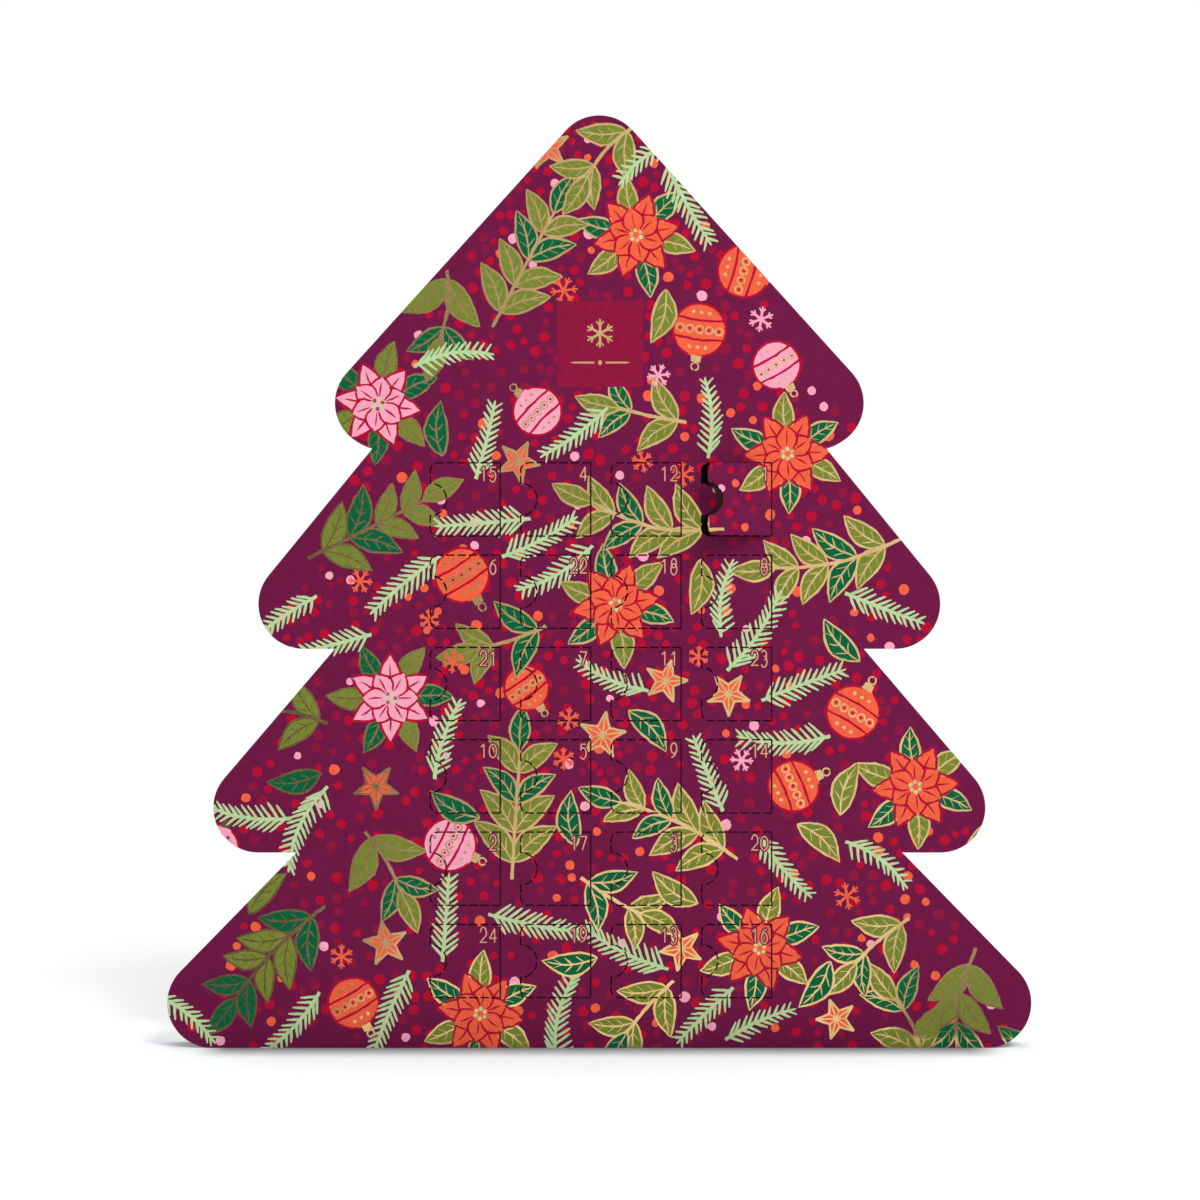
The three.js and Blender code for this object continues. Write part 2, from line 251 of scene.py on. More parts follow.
def pressed_bands():
    placed = cut_marks()
    bands, run, reach = [], [], HALF_GAP + CUT_SHADE_REACH
    for (point, enters), way in zip(placed, mitres([point for point, _ in placed])):
        run.append((Vector(point), way))
        if enters:
            bands.append(run)
        if enters is not None:
            run = [] if enters else [(Vector(point), way)]
    bands.append(run)
    outlines = []
    for band in bands:
        if len(band) > 1:
            outer = [tuple(p + w * reach) for p, w in band]
            outlines.append(outer + [tuple(p - w * reach) for p, w in reversed(band)])
    crease_band = [(-reach, 0), (reach, 0), (reach, DOOR_HEIGHT), (-reach, DOOR_HEIGHT)]
    return [*outlines, crease_band]


cut_shade_bands = pressed_bands()
print("bands along one door's cut:", len(cut_shade_bands))

# %% [markdown]
# ## A drawing desk for flat inks
#
# Artwork of flat inks is a stack of shapes, each painted over those before it. We keep them as a
# plain list of polygons with an ink each. Long edges are divided, and a little noise moves each
# point, so that shapes look cut by hand from paper. Left alone, that noise starts anew whenever
# Blender opens, so it gets a fixed seed first. Strokes are ribbons that swell and thin out like a
# brush line.

# %% Polygons, strokes and discs
SEED = 1224
noise.seed_set(SEED)
shapes = []
ROUGH = ((0.45, 0.34), (1.7, 0.2))
DIVIDE = 2.1


def unsteady(point, amount):
    x, z = point
    for fineness, reach in ROUGH:
        shift = noise.noise_vector(Vector((point[0] * fineness, point[1] * fineness, 7.3)))
        x, z = x + shift.x * reach * amount, z + shift.y * reach * amount
    return (x, z)


def divided(points, spacing):
    """The same closed polygon with no edge much longer than spacing."""
    fuller = []
    for a, b in zip(points, points[1:] + points[:1]):
        pieces = max(1, round(math.dist(a, b) / spacing))
        fuller += [tuple(Vector(a).lerp(Vector(b), i / pieces)) for i in range(pieces)]
    return fuller


def paint(ink, points, rough=1.0):
    if rough:
        points = [unsteady(p, rough) for p in divided(points, DIVIDE)]
    shapes.append((ink, points))


def smooth_line(points, spacing):
    """A smooth line through a few points, as evenly spaced points and their directions."""
    line = []
    padded = [points[0], *points, points[-1]]
    for a, b, c, d in zip(padded, padded[1:], padded[2:], padded[3:]):
        pieces = max(1, round(math.dist(b, c) / spacing))
        for i in range(pieces):
            t = i / pieces
            line.append(tuple(
                0.5 * (2 * q + (r - p) * t + (2 * p - 5 * q + 4 * r - s) * t * t
                       + (3 * q - p - 3 * r + s) * t ** 3) for p, q, r, s in zip(a, b, c, d)))
    line.append(points[-1])
    ways = []
    for i in range(len(line)):
        way = Vector(line[min(i + 1, len(line) - 1)]) - Vector(line[max(i - 1, 0)])
        ways.append(way.normalized())
    return line, ways


def stroke(ink, points, width, start=0.5, end=0.35, spacing=1.9, rough=1.0):
    """A ribbon along a smooth line; start and end are its width there as shares of width."""
    line, ways = smooth_line(points, spacing)
    left, right = [], []
    for i, ((x, z), way) in enumerate(zip(line, ways)):
        t = i / (len(line) - 1)
        swell = math.sin(math.pi * t) ** 0.5
        half = width / 2 * (swell + (1 - swell) * (start if t < 0.5 else end))
        left.append((x - way.y * half, z + way.x * half))
        right.append((x + way.y * half, z - way.x * half))
    paint(ink, right + left[::-1], rough)


def disc(ink, x, z, radius, sides=11):
    paint(ink, arc(x, z, radius, 0, math.tau * (sides - 1) / sides, sides - 1))


def ring(ink, x, z, radius, width, open_at=0.0, sides=14):
    """A hand-drawn circle: one stroke that doesn't quite close."""
    closing = open_at + math.tau * 0.95
    outer = arc(x, z, radius + width / 2, open_at, closing, sides)
    paint(ink, outer + arc(x, z, radius - width / 2, closing, open_at, sides), 0.6)


print("drawing desk ready")

# %% [markdown]
# ## The motifs
#
# The print is a tossed winter pattern: laurel sprigs, poinsettias, baubles, paper stars, fir
# twigs, snow crystals and dots. Each motif is a function of a place, a turn and a size, so that
# it can be used many times and never looks quite the same. The leaves are edged and veined with
# gold foil, which is laid down after the inks and covers the seams between them.

# %% Leaves and sprigs
GOLD_LINE = 0.95
VEINS = (0.24, 0.44, 0.64)


def local(x, z, turn):
    """A function that takes points from a motif's own axes to the sheet."""
    c, s = math.cos(turn), math.sin(turn)
    return lambda u, v: (x + u * c - v * s, z + u * s + v * c)


def leaf(x, z, turn, length, width, ink, bow=0.1):
    """A smooth pointed leaf from its stalk end, edged and veined in gold."""
    place = local(x, z, turn)

    def spot(t, reach):
        """A share t along the leaf, and a reach of -1 to 1 from edge to edge."""
        half = width / 2 * math.sin(math.pi * t ** 0.85)
        return place(length * t, half * reach + bow * length * math.sin(math.pi * t))

    shares = [i / 10 for i in range(11)]
    paint(ink, [spot(t, -1) for t in shares] + [spot(t, 1) for t in shares[-2:0:-1]])
    for reach in (-1, 1):
        stroke("gold", [spot(t, reach) for t in shares], GOLD_LINE, spacing=1.8)
        for t in VEINS:
            stroke("gold", [spot(t, 0), spot(t + 0.15, 0.7 * reach)], GOLD_LINE * 0.6, spacing=3)
    stroke("gold", [spot(t, 0) for t in (0.02, 0.3, 0.6, 0.9)], GOLD_LINE * 0.8)


def sprig(x, z, turn, length, pairs, rng):
    """A laurel sprig: leaves in pairs along a gently bent stem, with one at the tip."""
    place = local(x, z, turn)
    bend = rng.uniform(-0.1, 0.1)

    def stem(t):
        return place(length * (t - 0.5), bend * length * math.sin(math.pi * t))

    first = rng.randrange(3)
    for i in range(pairs):
        t = 0.12 + 0.64 * i / max(1, pairs - 1)
        ink = ("olive", "emerald", "olive")[(i + first) % 3]
        size = rng.uniform(22, 26) * (1 - 0.25 * t)
        for sign in (-1, 1):
            lean = turn + sign * rng.uniform(0.72, 0.9)
            leaf(*stem(t), lean, size, size * 0.42, ink, bow=-0.08 * sign)
    leaf(*stem(0.92), turn - bend * 2, 20, 8.6, rng.choice(("emerald", "olive")), bow=0.04)
    stroke("gold", [stem(t) for t in (0, 0.25, 0.5, 0.75, 0.95)], 1.5, start=1, end=0.5)


print("leaf and sprig defined")

# %% [markdown]
# A poinsettia is a ring of green leaves under two rings of pointed bracts, orange or pink, with a
# few small buds in the middle. A bauble is a disc with a band of little rings, a cap and a loop.
# A paper star is folded along the lines from its middle to its corners. All are traditional
# ornaments, and they carry the warm colours of the sheet.

# %% Poinsettias, baubles and stars
BRACT_SIDE = [(0.8, 0.3), (0.58, 0.5), (0.3, 0.36)]
BRACT = [(0, 0), *[(u, -v) for u, v in reversed(BRACT_SIDE)], (1, 0), *BRACT_SIDE]
BRACT_RIM = ((0.18, 0.24), (0.4, 0.46), (0.6, 0.52), (0.82, 0.31), (1.04, 0))
BAND_BEND = ((-0.07, -1), (0, 0), (-0.07, 1))
CAP = ((0.95, -0.2), (1.2, -0.17), (1.2, 0.17), (0.95, 0.2))


def bract(x, z, turn, length, width, ink, edge):
    place = local(x, z, turn)
    paint(ink, [place(length * u, width * v) for u, v in BRACT])
    for sign in (-1, 1):
        side = [place(length * u, sign * width * (v + 0.05)) for u, v in BRACT_RIM]
        stroke(edge, side, 1.0)
    stroke(edge, [place(length * 0.3, 0), place(length * 0.8, 0)], 0.8, spacing=3)


def poinsettia(x, z, turn, radius, warm, rng):
    for i in range(6):
        way = turn + i * math.tau / 6 + rng.uniform(-0.1, 0.1)
        length = radius * rng.uniform(0.66, 0.76)
        start = (x + radius * 0.28 * math.cos(way), z + radius * 0.28 * math.sin(way))
        leaf(*start, way, length, length * 0.46, ("emerald", "olive")[i % 2], bow=0.05)
    for reach, shift in ((0.68, math.tau / 12), (0.44, 0)):
        for i in range(6):
            bract(x, z, turn + shift + i * math.tau / 6, radius * reach, radius * 0.3, warm, "red")
    for i in range(6):
        way = turn + i * math.tau / 6
        disc(("gold", "mint")[i % 2], x + 2.1 * math.cos(way), z + 2.1 * math.sin(way), 0.9, 8)


def paper_star(x, z, turn, radius, ink):
    place = local(x, z, turn)
    tips = [(reach * radius, i * math.pi / 5) for i, reach in enumerate([1, 0.42] * 5)]
    corners_of = [place(r * math.cos(way), r * math.sin(way)) for r, way in tips]
    paint(ink, corners_of)
    for a, b in zip(corners_of, corners_of[1:] + corners_of[:1]):
        stroke("gold", [a, b], 0.9, start=1, end=1, spacing=3, rough=0.6)
        stroke("gold", [(x, z), a], 0.7, start=1, end=0.7, spacing=3, rough=0.6)


def bauble(x, z, turn, radius, ink):
    place = local(x, z, turn)
    disc(ink, x, z, radius, 24)
    ring("red", x, z, radius * 0.98, 1.0, turn, 22)
    for level in (-0.36, 0.36):
        half = radius * math.sqrt(1 - level * level)
        line = [place((level + bend) * radius, side * half) for bend, side in BAND_BEND]
        stroke("red", line, 1.0, start=1, end=1)
    for i in range(-2, 3):
        bead = place(-0.02 * radius, i * radius * 0.36)
        ring("gold", *bead, radius * 0.14, 0.7, i, 10)
        disc("red", *bead, radius * 0.055, 6)
    for i in range(-1, 2):
        for level in (-0.65, 0.64):
            disc("gold", *place(level * radius, i * radius * 0.3), radius * 0.07, 7)
    paint("gold", [place(u * radius, v * radius) for u, v in CAP])
    ring("gold", *place(1.36 * radius, 0), radius * 0.14, 0.7, turn, 10)


print("poinsettia, bauble and star defined")

# %% [markdown]
# Fir twigs in pale mint run across the dark ground and lighten it. Their needles stand close
# together on both sides and get shorter toward the tip. Snow crystals are three crossing strokes
# with small barbs.

# %% Twigs and crystals
NEEDLE_SPACING = 3.2


def fir_twig(x, z, turn, length, rng):
    bend = rng.uniform(-0.1, 0.1)
    place = local(x, z, turn)

    def stem(t):
        return (length * (t - 0.5), bend * length * math.sin(math.pi * t))

    count = round(length / NEEDLE_SPACING)
    for i in range(count):
        t = 0.06 + 0.92 * i / count
        u, v = stem(t)
        for sign in (-1, 1):
            reach = length * (0.22 - 0.1 * t) * rng.uniform(0.88, 1.1)
            lean = rng.uniform(0.72, 0.86)
            tip = place(u + reach * math.cos(lean), v + sign * reach * math.sin(lean))
            stroke("mint", [place(u, v), tip], 1.2, start=0.9, end=0.5, spacing=3, rough=0.6)
    stroke("mint", [place(*stem(t)) for t in (0, 0.3, 0.65, 1)], 1.5, start=1, end=0.4)


def crystal(x, z, turn, radius, ink):
    for i in range(6):
        place = local(x, z, turn + i * math.tau / 6)
        stroke(ink, [place(0, 0), place(radius, 0)], 1.1, start=0.9, end=0.7, spacing=3, rough=0.5)
        for sign in (-1, 1):
            barb = [place(radius * 0.55, 0), place(radius * 0.85, sign * radius * 0.26)]
            stroke(ink, barb, 0.85, start=0.9, end=0.7, spacing=3, rough=0.5)
    disc(ink, x, z, radius * 0.14, 7)


print("twig and crystal defined")

# %% [markdown]
# ## Throwing the motifs like darts
#
# A tossed pattern has no grid: a designer drops the large motifs first, then fills the gaps with
# smaller ones. We do the same. A dart lands at a random place and stays only if it keeps its
# distance from those already there. The random numbers start from a fixed seed, so the sheet is
# the same on every run.

# %% Dart throwing
rng = random.Random(SEED)
taken = []
LABEL_X, LABEL_Z, LABEL_SIZE = 0.3, 302.7, 37.0


def half_width_at(z):
    """About half the tree's width at a height, so that darts land on it."""
    for tier, above in zip(TIERS, TIERS[1:] + [None]):
        top = above["underside"] if above else HEIGHT
        if z < top:
            narrow = tier["neck"] if above else TIP_RADIUS / 2
            share = max(0.0, (z - tier["underside"]) / (top - tier["underside"]))
            return tier["half_width"] + (narrow - tier["half_width"]) * share
    return 0.0


def clear_of_label(x, z, radius):
    reach = LABEL_SIZE / 2 + radius * 0.6
    return abs(x - LABEL_X) > reach or abs(z - LABEL_Z) > reach


def throw(radii, tries, closeness):
    """A place and turn where discs of these radii, in a row along the turn, fit among the rest."""
    for _ in range(tries):
        z = rng.uniform(2, HEIGHT - 6)
        half = half_width_at(z) + radii[0] * 0.3
        x, turn = rng.uniform(-half, half), rng.uniform(0, math.tau)
        middle = (len(radii) - 1) / 2
        steps = [(i - middle) * radii[0] * 1.4 for i in range(len(radii))]
        spots = [(x + s * math.cos(turn), z + s * math.sin(turn), r) for s, r in zip(steps, radii)]
        apart = all(math.hypot(a - c, b - d) > (r + s) * closeness
                    for a, b, r in spots for c, d, s in taken)
        if apart and all(clear_of_label(*spot) for spot in spots):
            taken.extend(spots)
            return x, z, turn
    return None


def warm():
    return rng.choice(("orange", "orange", "pink"))


def single_leaf(x, z, turn, length=24, width=10):
    stalk = (x - length / 2 * math.cos(turn), z - length / 2 * math.sin(turn))
    leaf(*stalk, turn, length, width, rng.choice(("emerald", "olive")))


print("half the tree's width at the label:", round(half_width_at(LABEL_Z)), "mm")

# %% Lay out the sheet
# A kind, how many are wanted, its discs, its closeness, the tries for each, and how it is drawn.
LAYOUT = [
    ("poinsettias", 8, [25], 1.0, 1500, lambda *at: poinsettia(*at, 27, warm(), rng)),
    ("long sprigs", 8, [13] * 4, 0.95, 5000, lambda *at: sprig(*at, 60, 4, rng)),
    ("baubles", 11, [13], 0.95, 1500, lambda *at: bauble(*at, rng.uniform(9.5, 12), warm())),
    ("stars", 9, [10], 0.95, 1500, lambda *at: paper_star(*at, rng.uniform(8.5, 10.5), warm())),
    ("short sprigs", 10, [12] * 2, 0.9, 3000, lambda *at: sprig(*at, 32, 2, rng)),
    ("twigs", 33, [7] * 3, 0.8, 3000, lambda *at: fir_twig(*at, rng.uniform(32, 42), rng)),
    ("leaves", 16, [6] * 3, 0.85, 2500, single_leaf),
    ("crystals", 14, [6], 1.0, 1500, lambda *at: crystal(*at, rng.uniform(4.5, 6), warm())),
]
for kind, wanted, radii, closeness, tries, draw in LAYOUT:
    thrown = [throw(radii, tries, closeness) for _ in range(wanted)]
    landed = [spot for spot in thrown if spot]
    for spot in landed:
        draw(*spot)
    print(kind, len(landed))

# %% [markdown]
# Dots come last and fill what is left, evenly and without touching, as confetti does. Most are in
# two reds close to the ground colour, and a few in orange and pink. They are drawn beneath the
# motifs, so they go to the front of the list, where the paint goes on first.

# %% Dots beneath the motifs
motifs, shapes = shapes, []
dots = []
DOT_INKS, DOT_SHARES = ("red", "crimson", "orange", "pink"), (10, 8, 2, 1)
DOT_TRIES, DOT_CLOSENESS = 3000, 1.15
for _ in range(DOT_TRIES):
    z = rng.uniform(0, HEIGHT - 3)
    x, radius = rng.uniform(-1, 1) * (half_width_at(z) + 2), rng.uniform(1.6, 2.5)
    if all(math.hypot(x - c, z - d) > (radius + s) * DOT_CLOSENESS for c, d, s in dots):
        dots.append((x, z, radius))
        disc(rng.choices(DOT_INKS, DOT_SHARES)[0], x, z, radius, 9)
print("dots:", len(shapes), "motif shapes:", len(motifs))
shapes = shapes + motifs

# %% [markdown]
# ## The label and the numbers
#
# A plain crimson square near the top carries only a gold snow crystal over a short rule. Each
# door has its number in thin upright strokes by its top right corner, in tan. The digits are
# drawn as short strokes, which keeps one even line weight, as in a light face without serifs.
# Each is laid over a wider copy in the ground colour, which nobody sees on the ground, and which
# sets the number off from a leaf or a petal. Shapes that overlap in one ink simply merge.

# %% Label
reach = LABEL_SIZE / 2
square = [(LABEL_X + sx * reach, LABEL_Z + sz * reach) for sx, sz in CORNER_SIGNS]
paint("crimson", square, 0)
crystal(LABEL_X, LABEL_Z + 4.5, QUARTER, 6.2, "gold")
RULE_DROP = 8
for sign in (-1, 1):
    rule = [(LABEL_X + sign * u, LABEL_Z - RULE_DROP) for u in (2.4, 12.5)]
    stroke("gold", rule, 0.8, start=1, end=0.4, rough=0)
disc("gold", LABEL_X, LABEL_Z - RULE_DROP, 0.9)

# %% Numerals
DIGIT_HEIGHT, DIGIT_WIDTH, DIGIT_STEP = 5.8, 3.1, 4.1
DIGITS = {
    "0": [arc(0.5, 0.5, 0.5, 0, math.tau, 18)],
    "1": [[(0.2, 0.8), (0.58, 1.0), (0.58, 0.0)]],
    "2": [arc(0.5, 0.7, 0.42, 0.95 * HALF_TURN, -0.5, 9) + [(0.06, 0.0), (0.96, 0.0)]],
    "3": [arc(0.45, 0.75, 0.36, 0.8 * HALF_TURN, -0.45 * HALF_TURN, 9),
          arc(0.45, 0.28, 0.42, 0.47 * HALF_TURN, -0.8 * HALF_TURN, 10)],
    "4": [[(0.74, 0.0), (0.74, 1.0), (0.04, 0.3), (1.0, 0.3)]],
    "5": [[(0.86, 1.0), (0.2, 1.0), (0.14, 0.56)]
          + arc(0.46, 0.32, 0.42, 0.7 * HALF_TURN, -0.8 * HALF_TURN, 10)],
    "6": [[(0.82, 0.98), (0.42, 0.86), (0.12, 0.5)]
          + arc(0.5, 0.3, 0.4, 0.95 * HALF_TURN, -1.05 * HALF_TURN, 14)],
    "7": [[(0.04, 1.0), (0.94, 1.0), (0.36, 0.0)]],
    "8": [arc(0.5, 0.73, 0.34, 0, math.tau, 12), arc(0.5, 0.28, 0.42, 0, math.tau, 14)],
    "9": [[(0.18, 0.02), (0.58, 0.14), (0.88, 0.5)]
          + arc(0.5, 0.7, 0.4, -0.05 * HALF_TURN, 1.95 * HALF_TURN, 14)],
}


def number(value, right, top, ink, width, longer):
    """A door's number in bars of one width, each drawn longer at both ends."""
    text = str(value)
    for i, digit in enumerate(text):
        left = right - DIGIT_WIDTH - (len(text) - 1 - i) * DIGIT_STEP
        for line in DIGITS[digit]:
            spots = [Vector((left + u * DIGIT_WIDTH, top + (v - 1) * DIGIT_HEIGHT))
                     for u, v in line]
            for a, b in zip(spots, spots[1:]):
                way = (b - a).normalized()
                side = Vector((-way.y, way.x)) * width / 2
                a, b = a - way * longer, b + way * longer
                paint(ink, [tuple(p) for p in (a - side, b - side, b + side, a + side)], 0)


NUMBER_INSET, NUMBER_DROP = 1.6, 1.9
DIGIT_LINE, DIGIT_LAP, KEYLINE = 0.52, 0.1, 0.55
for value, (crease, middle) in creases.items():
    corner = (crease - NUMBER_INSET, middle + DOOR_HEIGHT / 2 - NUMBER_DROP)
    number(value, *corner, "plum", DIGIT_LINE + 2 * KEYLINE, KEYLINE)
    number(value, *corner, "tan", DIGIT_LINE, DIGIT_LAP)
    # Painted shade over each door's cut and crease, in the darkest tone.
    for band in cut_shade_bands:
        paint("painted_cut_shade", [(x + crease, z + middle - DOOR_HEIGHT / 2) for x, z in band], 0)
print("shapes with numbers and cuts:", len(shapes))

# %% [markdown]
# ## From shapes to triangles
#
# All outlines go into one constrained triangulation: the tiers, the holes, the doors and every
# painted shape. No triangle then crosses an edge of any of them, so a triangle lies in a shape
# when its middle does. Going through the shapes in painting order leaves each triangle with the
# ink painted last, and the door outlines say which piece of board it belongs to. A leaf that
# crosses a perforation is cut there exactly, and its halves part when the door opens.

# %% Triangulate flat outlines
def triangulated(outlines):
    """Points, triangles and their middles, sorted from left to right, of overlapping outlines."""
    corners, loops = [], []
    for points in outlines:
        loops.append(list(range(len(corners), len(corners) + len(points))))
        corners += [Vector(p) for p in points]
    points, _, triangles, _, _, _ = delaunay_2d_cdt(corners, [], loops, 0, 1e-4)
    points = np.array([tuple(p) for p in points])
    triangles = np.array([tuple(t) for t in triangles])
    middles = points[triangles].mean(axis=1)
    order = np.argsort(middles[:, 0])
    return points, triangles[order], middles[order]


def winding_number(starts, ends, places):
    """How many times edges that run from starts to ends go counterclockwise round each place."""
    x, z = places.T
    winding = np.zeros(len(places), int)
    for (ax, az), (bx, bz) in zip(starts, ends):
        side = (bx - ax) * (z - az) - (x - ax) * (bz - az)
        winding += ((az <= z) & (z < bz) & (side > 0)).astype(int)
        winding -= ((bz <= z) & (z < az) & (side < 0)).astype(int)
    return winding


def lying_in(outline, middles):
    """The numbers of the triangles whose middles lie in a closed polygon."""
    ring_points = np.array(outline)
    low, high = ring_points.min(axis=0), ring_points.max(axis=0)
    first, last = np.searchsorted(middles[:, 0], (low[0], high[0]))
    level = middles[first:last, 1]
    near = first + np.nonzero((level > low[1]) & (level < high[1]))[0]
    return near[winding_number(ring_points, np.roll(ring_points, -1, axis=0), middles[near]) != 0]


# %% Sort the sheet's triangles by board and ink
door_outlines, hole_outlines = {}, {}
for value, (crease, middle) in creases.items():
    foot = middle - DOOR_HEIGHT / 2
    door_outlines[value] = [(x + crease, z + foot) for x, z in door_cut]
    hole_outlines[value] = [(x + crease, z + foot) for x, z in hole_cut]
structure = tree_tiers + [*door_outlines.values(), *hole_outlines.values()]
sheet, sheet_triangles, sheet_middles = triangulated(structure + [points for _, points in shapes])

INKS = ["plum", "crimson", "emerald", "olive", "mint", "orange",
        "pink", "red", "gold", "tan", "painted_cut_shade"]
ink_of = np.full(len(sheet_triangles), INKS.index("plum"))
for ink, points in shapes:
    ink_of[lying_in(points, sheet_middles)] = INKS.index(ink)

NOWHERE, PANEL = -1, 0
board_of = np.full(len(sheet_triangles), NOWHERE)
for points in tree_tiers:
    board_of[lying_in(points, sheet_middles)] = PANEL
for value in creases:
    board_of[lying_in(hole_outlines[value], sheet_middles)] = NOWHERE
    board_of[lying_in(door_outlines[value], sheet_middles)] = value

a, b, c = (sheet[sheet_triangles[:, i]] for i in range(3))
area = np.abs((b - a)[:, 0] * (c - a)[:, 1] - (b - a)[:, 1] * (c - a)[:, 0]) / 2
printed = board_of != NOWHERE
shares = {ink: round(float(100 * area[printed & (ink_of == i)].sum() / area[printed].sum()), 1)
          for i, ink in enumerate(INKS)}
print("triangles:", len(sheet_triangles), "panel:", int((board_of == PANEL).sum()))
print("percent of each ink:", shares)

# %% [markdown]
# ## Inks and paper
#
# Printing ink on board is a thin, even colour under a satin varnish. What gives it away as print
# on paper is small: a faint mottle where the fibres took more or less ink, and a fine relief in
# the highlights. Both come from noise in the object's own space, so they turn with a door. The
# colours were matched, and are written as on a screen and turned into Blender's linear
# values.

# %% Material helpers
def colour(red, green, blue, level=1.0):
    """An on-screen colour, 0 to 255, as Blender's linear values."""
    shares = [max(0.0, c / 255) for c in (red, green, blue)]
    linear = [c / 12.92 if c <= 0.04045 else ((c + 0.055) / 1.055) ** 2.4 for c in shares]
    return (*[c * level for c in linear], 1.0)


def new_material(name):
    material = bpy.data.materials.new(name)
    material.use_nodes = True
    tree = material.node_tree
    return material, tree, tree.nodes["Principled BSDF"]


def set_inputs(tree, node, inputs):
    """Sets inputs by name or number, each to a value or to the output of another node."""
    for name, value in inputs.items():
        if isinstance(value, bpy.types.NodeSocket):
            tree.links.new(value, node.inputs[name])
        else:
            node.inputs[name].default_value = value


def new_node(tree, kind, inputs):
    node = tree.nodes.new(kind)
    set_inputs(tree, node, inputs)
    return node


def map_range(tree, value, from_low, from_high, to_low, to_high):
    return new_node(tree, "ShaderNodeMapRange", {
        "Value": value, "From Min": from_low, "From Max": from_high,
        "To Min": to_low, "To Max": to_high})


print("node helpers ready")

# %% Noise, tone, gloss and relief
NOISE_LOW, NOISE_HIGH = 0.3, 0.7


def object_noise(tree, size_mm, detail=3.0, roughness=0.55, stretch=(1, 1, 1)):
    """A noise texture in the object's own space, its largest features about size_mm across."""
    space = tree.nodes.new("ShaderNodeTexCoord").outputs["Object"]
    scaled = new_node(tree, "ShaderNodeMapping", {"Vector": space, "Scale": stretch})
    texture = new_node(tree, "ShaderNodeTexNoise", {
        "Vector": scaled.outputs["Vector"], "Scale": 1 / (size_mm * MM),
        "Detail": detail, "Roughness": roughness})
    return texture.outputs["Fac"]


def two_tone(tree, shader, value, dark, light):
    """A base colour that goes from dark to light with a noise."""
    ramp = new_node(tree, "ShaderNodeValToRGB", {"Fac": value})
    for i, position, tone in ((0, NOISE_LOW, dark), (1, NOISE_HIGH, light)):
        ramp.color_ramp.elements[i].position = position
        ramp.color_ramp.elements[i].color = tone
    tree.links.new(ramp.outputs["Color"], shader.inputs["Base Color"])


def uneven_gloss(tree, shader, value, low, high):
    """A roughness that goes from low to high with a noise."""
    rough = map_range(tree, value, NOISE_LOW, NOISE_HIGH, low, high)
    tree.links.new(rough.outputs["Result"], shader.inputs["Roughness"])


def relief(tree, shader, heights):
    """Bumps one above another; each is a height, its distance in mm and its strength."""
    inputs = {}
    for value, distance, strength in heights:
        inputs.update({"Height": value, "Distance": distance * MM, "Strength": strength})
        inputs["Normal"] = new_node(tree, "ShaderNodeBump", inputs).outputs["Normal"]
    tree.links.new(inputs["Normal"], shader.inputs["Normal"])


print("material helpers ready")

# %% The printed inks
def printed_ink(name, rgb):
    material, tree, shader = new_material(name)
    mottle = object_noise(tree, 2.6, 5)
    fibre = object_noise(tree, 0.5, 2, 0.6, (1, 1, 1.8))
    two_tone(tree, shader, mottle, colour(*rgb, 0.9), colour(*rgb, 1.07))
    uneven_gloss(tree, shader, fibre, 0.4, 0.56)
    shader.inputs["Specular IOR Level"].default_value = 0.08
    relief(tree, shader, [(fibre, 0.02, 0.5), (mottle, 0.03, 0.2)])
    return material


INK_COLOURS = {
    "plum": (106, 17, 64),
    "crimson": (137, 15, 57),
    "emerald": (0, 93, 57),
    "olive": (115, 127, 47),
    "mint": (177, 205, 151),
    "orange": (232, 93, 62),
    "pink": (241, 158, 183),
    "red": (172, 5, 47),
    "tan": (212, 156, 120),
    # The darkest tone is no ink of the real board: it is painted shade for the cuts and the crease.
    "painted_cut_shade": (48, 6, 30),
}
inks = {name: printed_ink("ink_" + name, rgb) for name, rgb in INK_COLOURS.items()}
print("inks:", ", ".join(inks))

# %% [markdown]
# The gold is hot foil: a real metal film, so its colour is what it mirrors. It wants a metallic
# shader with a soft, slightly uneven gloss, because the film follows the fibres of the board.

# %% Gold foil, board core and liner
def foil_gold():
    material, tree, shader = new_material("foil_gold")
    cloud = object_noise(tree, 9, 4)
    grain = object_noise(tree, 0.35, 2, 0.6)
    two_tone(tree, shader, cloud, colour(211, 174, 108), colour(232, 199, 144))
    uneven_gloss(tree, shader, grain, 0.17, 0.28)
    shader.inputs["Metallic"].default_value = 0.95
    relief(tree, shader, [(grain, 0.012, 0.4), (cloud, 0.05, 0.2)])
    return material


def bare_board(name, dark, light, fibre_mm, stretch):
    """Uncoated fibres: matt, speckled and a little rough."""
    material, tree, shader = new_material(name)
    fibre = object_noise(tree, fibre_mm, 4, 0.65, stretch)
    fleck = object_noise(tree, 5.0, 3)
    mixed = new_node(tree, "ShaderNodeMix", {"Factor": 0.35, "A": fibre, "B": fleck})
    two_tone(tree, shader, mixed.outputs["Result"], colour(*dark), colour(*light))
    set_inputs(tree, shader, {"Roughness": 0.85, "Specular IOR Level": 0.2})
    relief(tree, shader, [(fibre, 0.05, 0.6)])
    return material


inks["gold"] = foil_gold()
core = bare_board("board_core", (186, 176, 160), (226, 219, 206), 0.4, (1, 3, 1))
liner = bare_board("board_liner", (205, 200, 190), (232, 229, 222), 0.9, (1, 1, 2.5))
plain_back = bare_board("board_back", (205, 196, 180), (230, 223, 210), 1.1, (1, 1, 2.2))
# Near black cut edges: painted shade in the cuts of the doors and doorways.
cut_edge_shade = bare_board("board_cut_edge_shade", (14, 6, 9), (30, 14, 18), 0.4, (1, 3, 1))
print("finishes:", len([*inks, core, liner, plain_back, cut_edge_shade]))

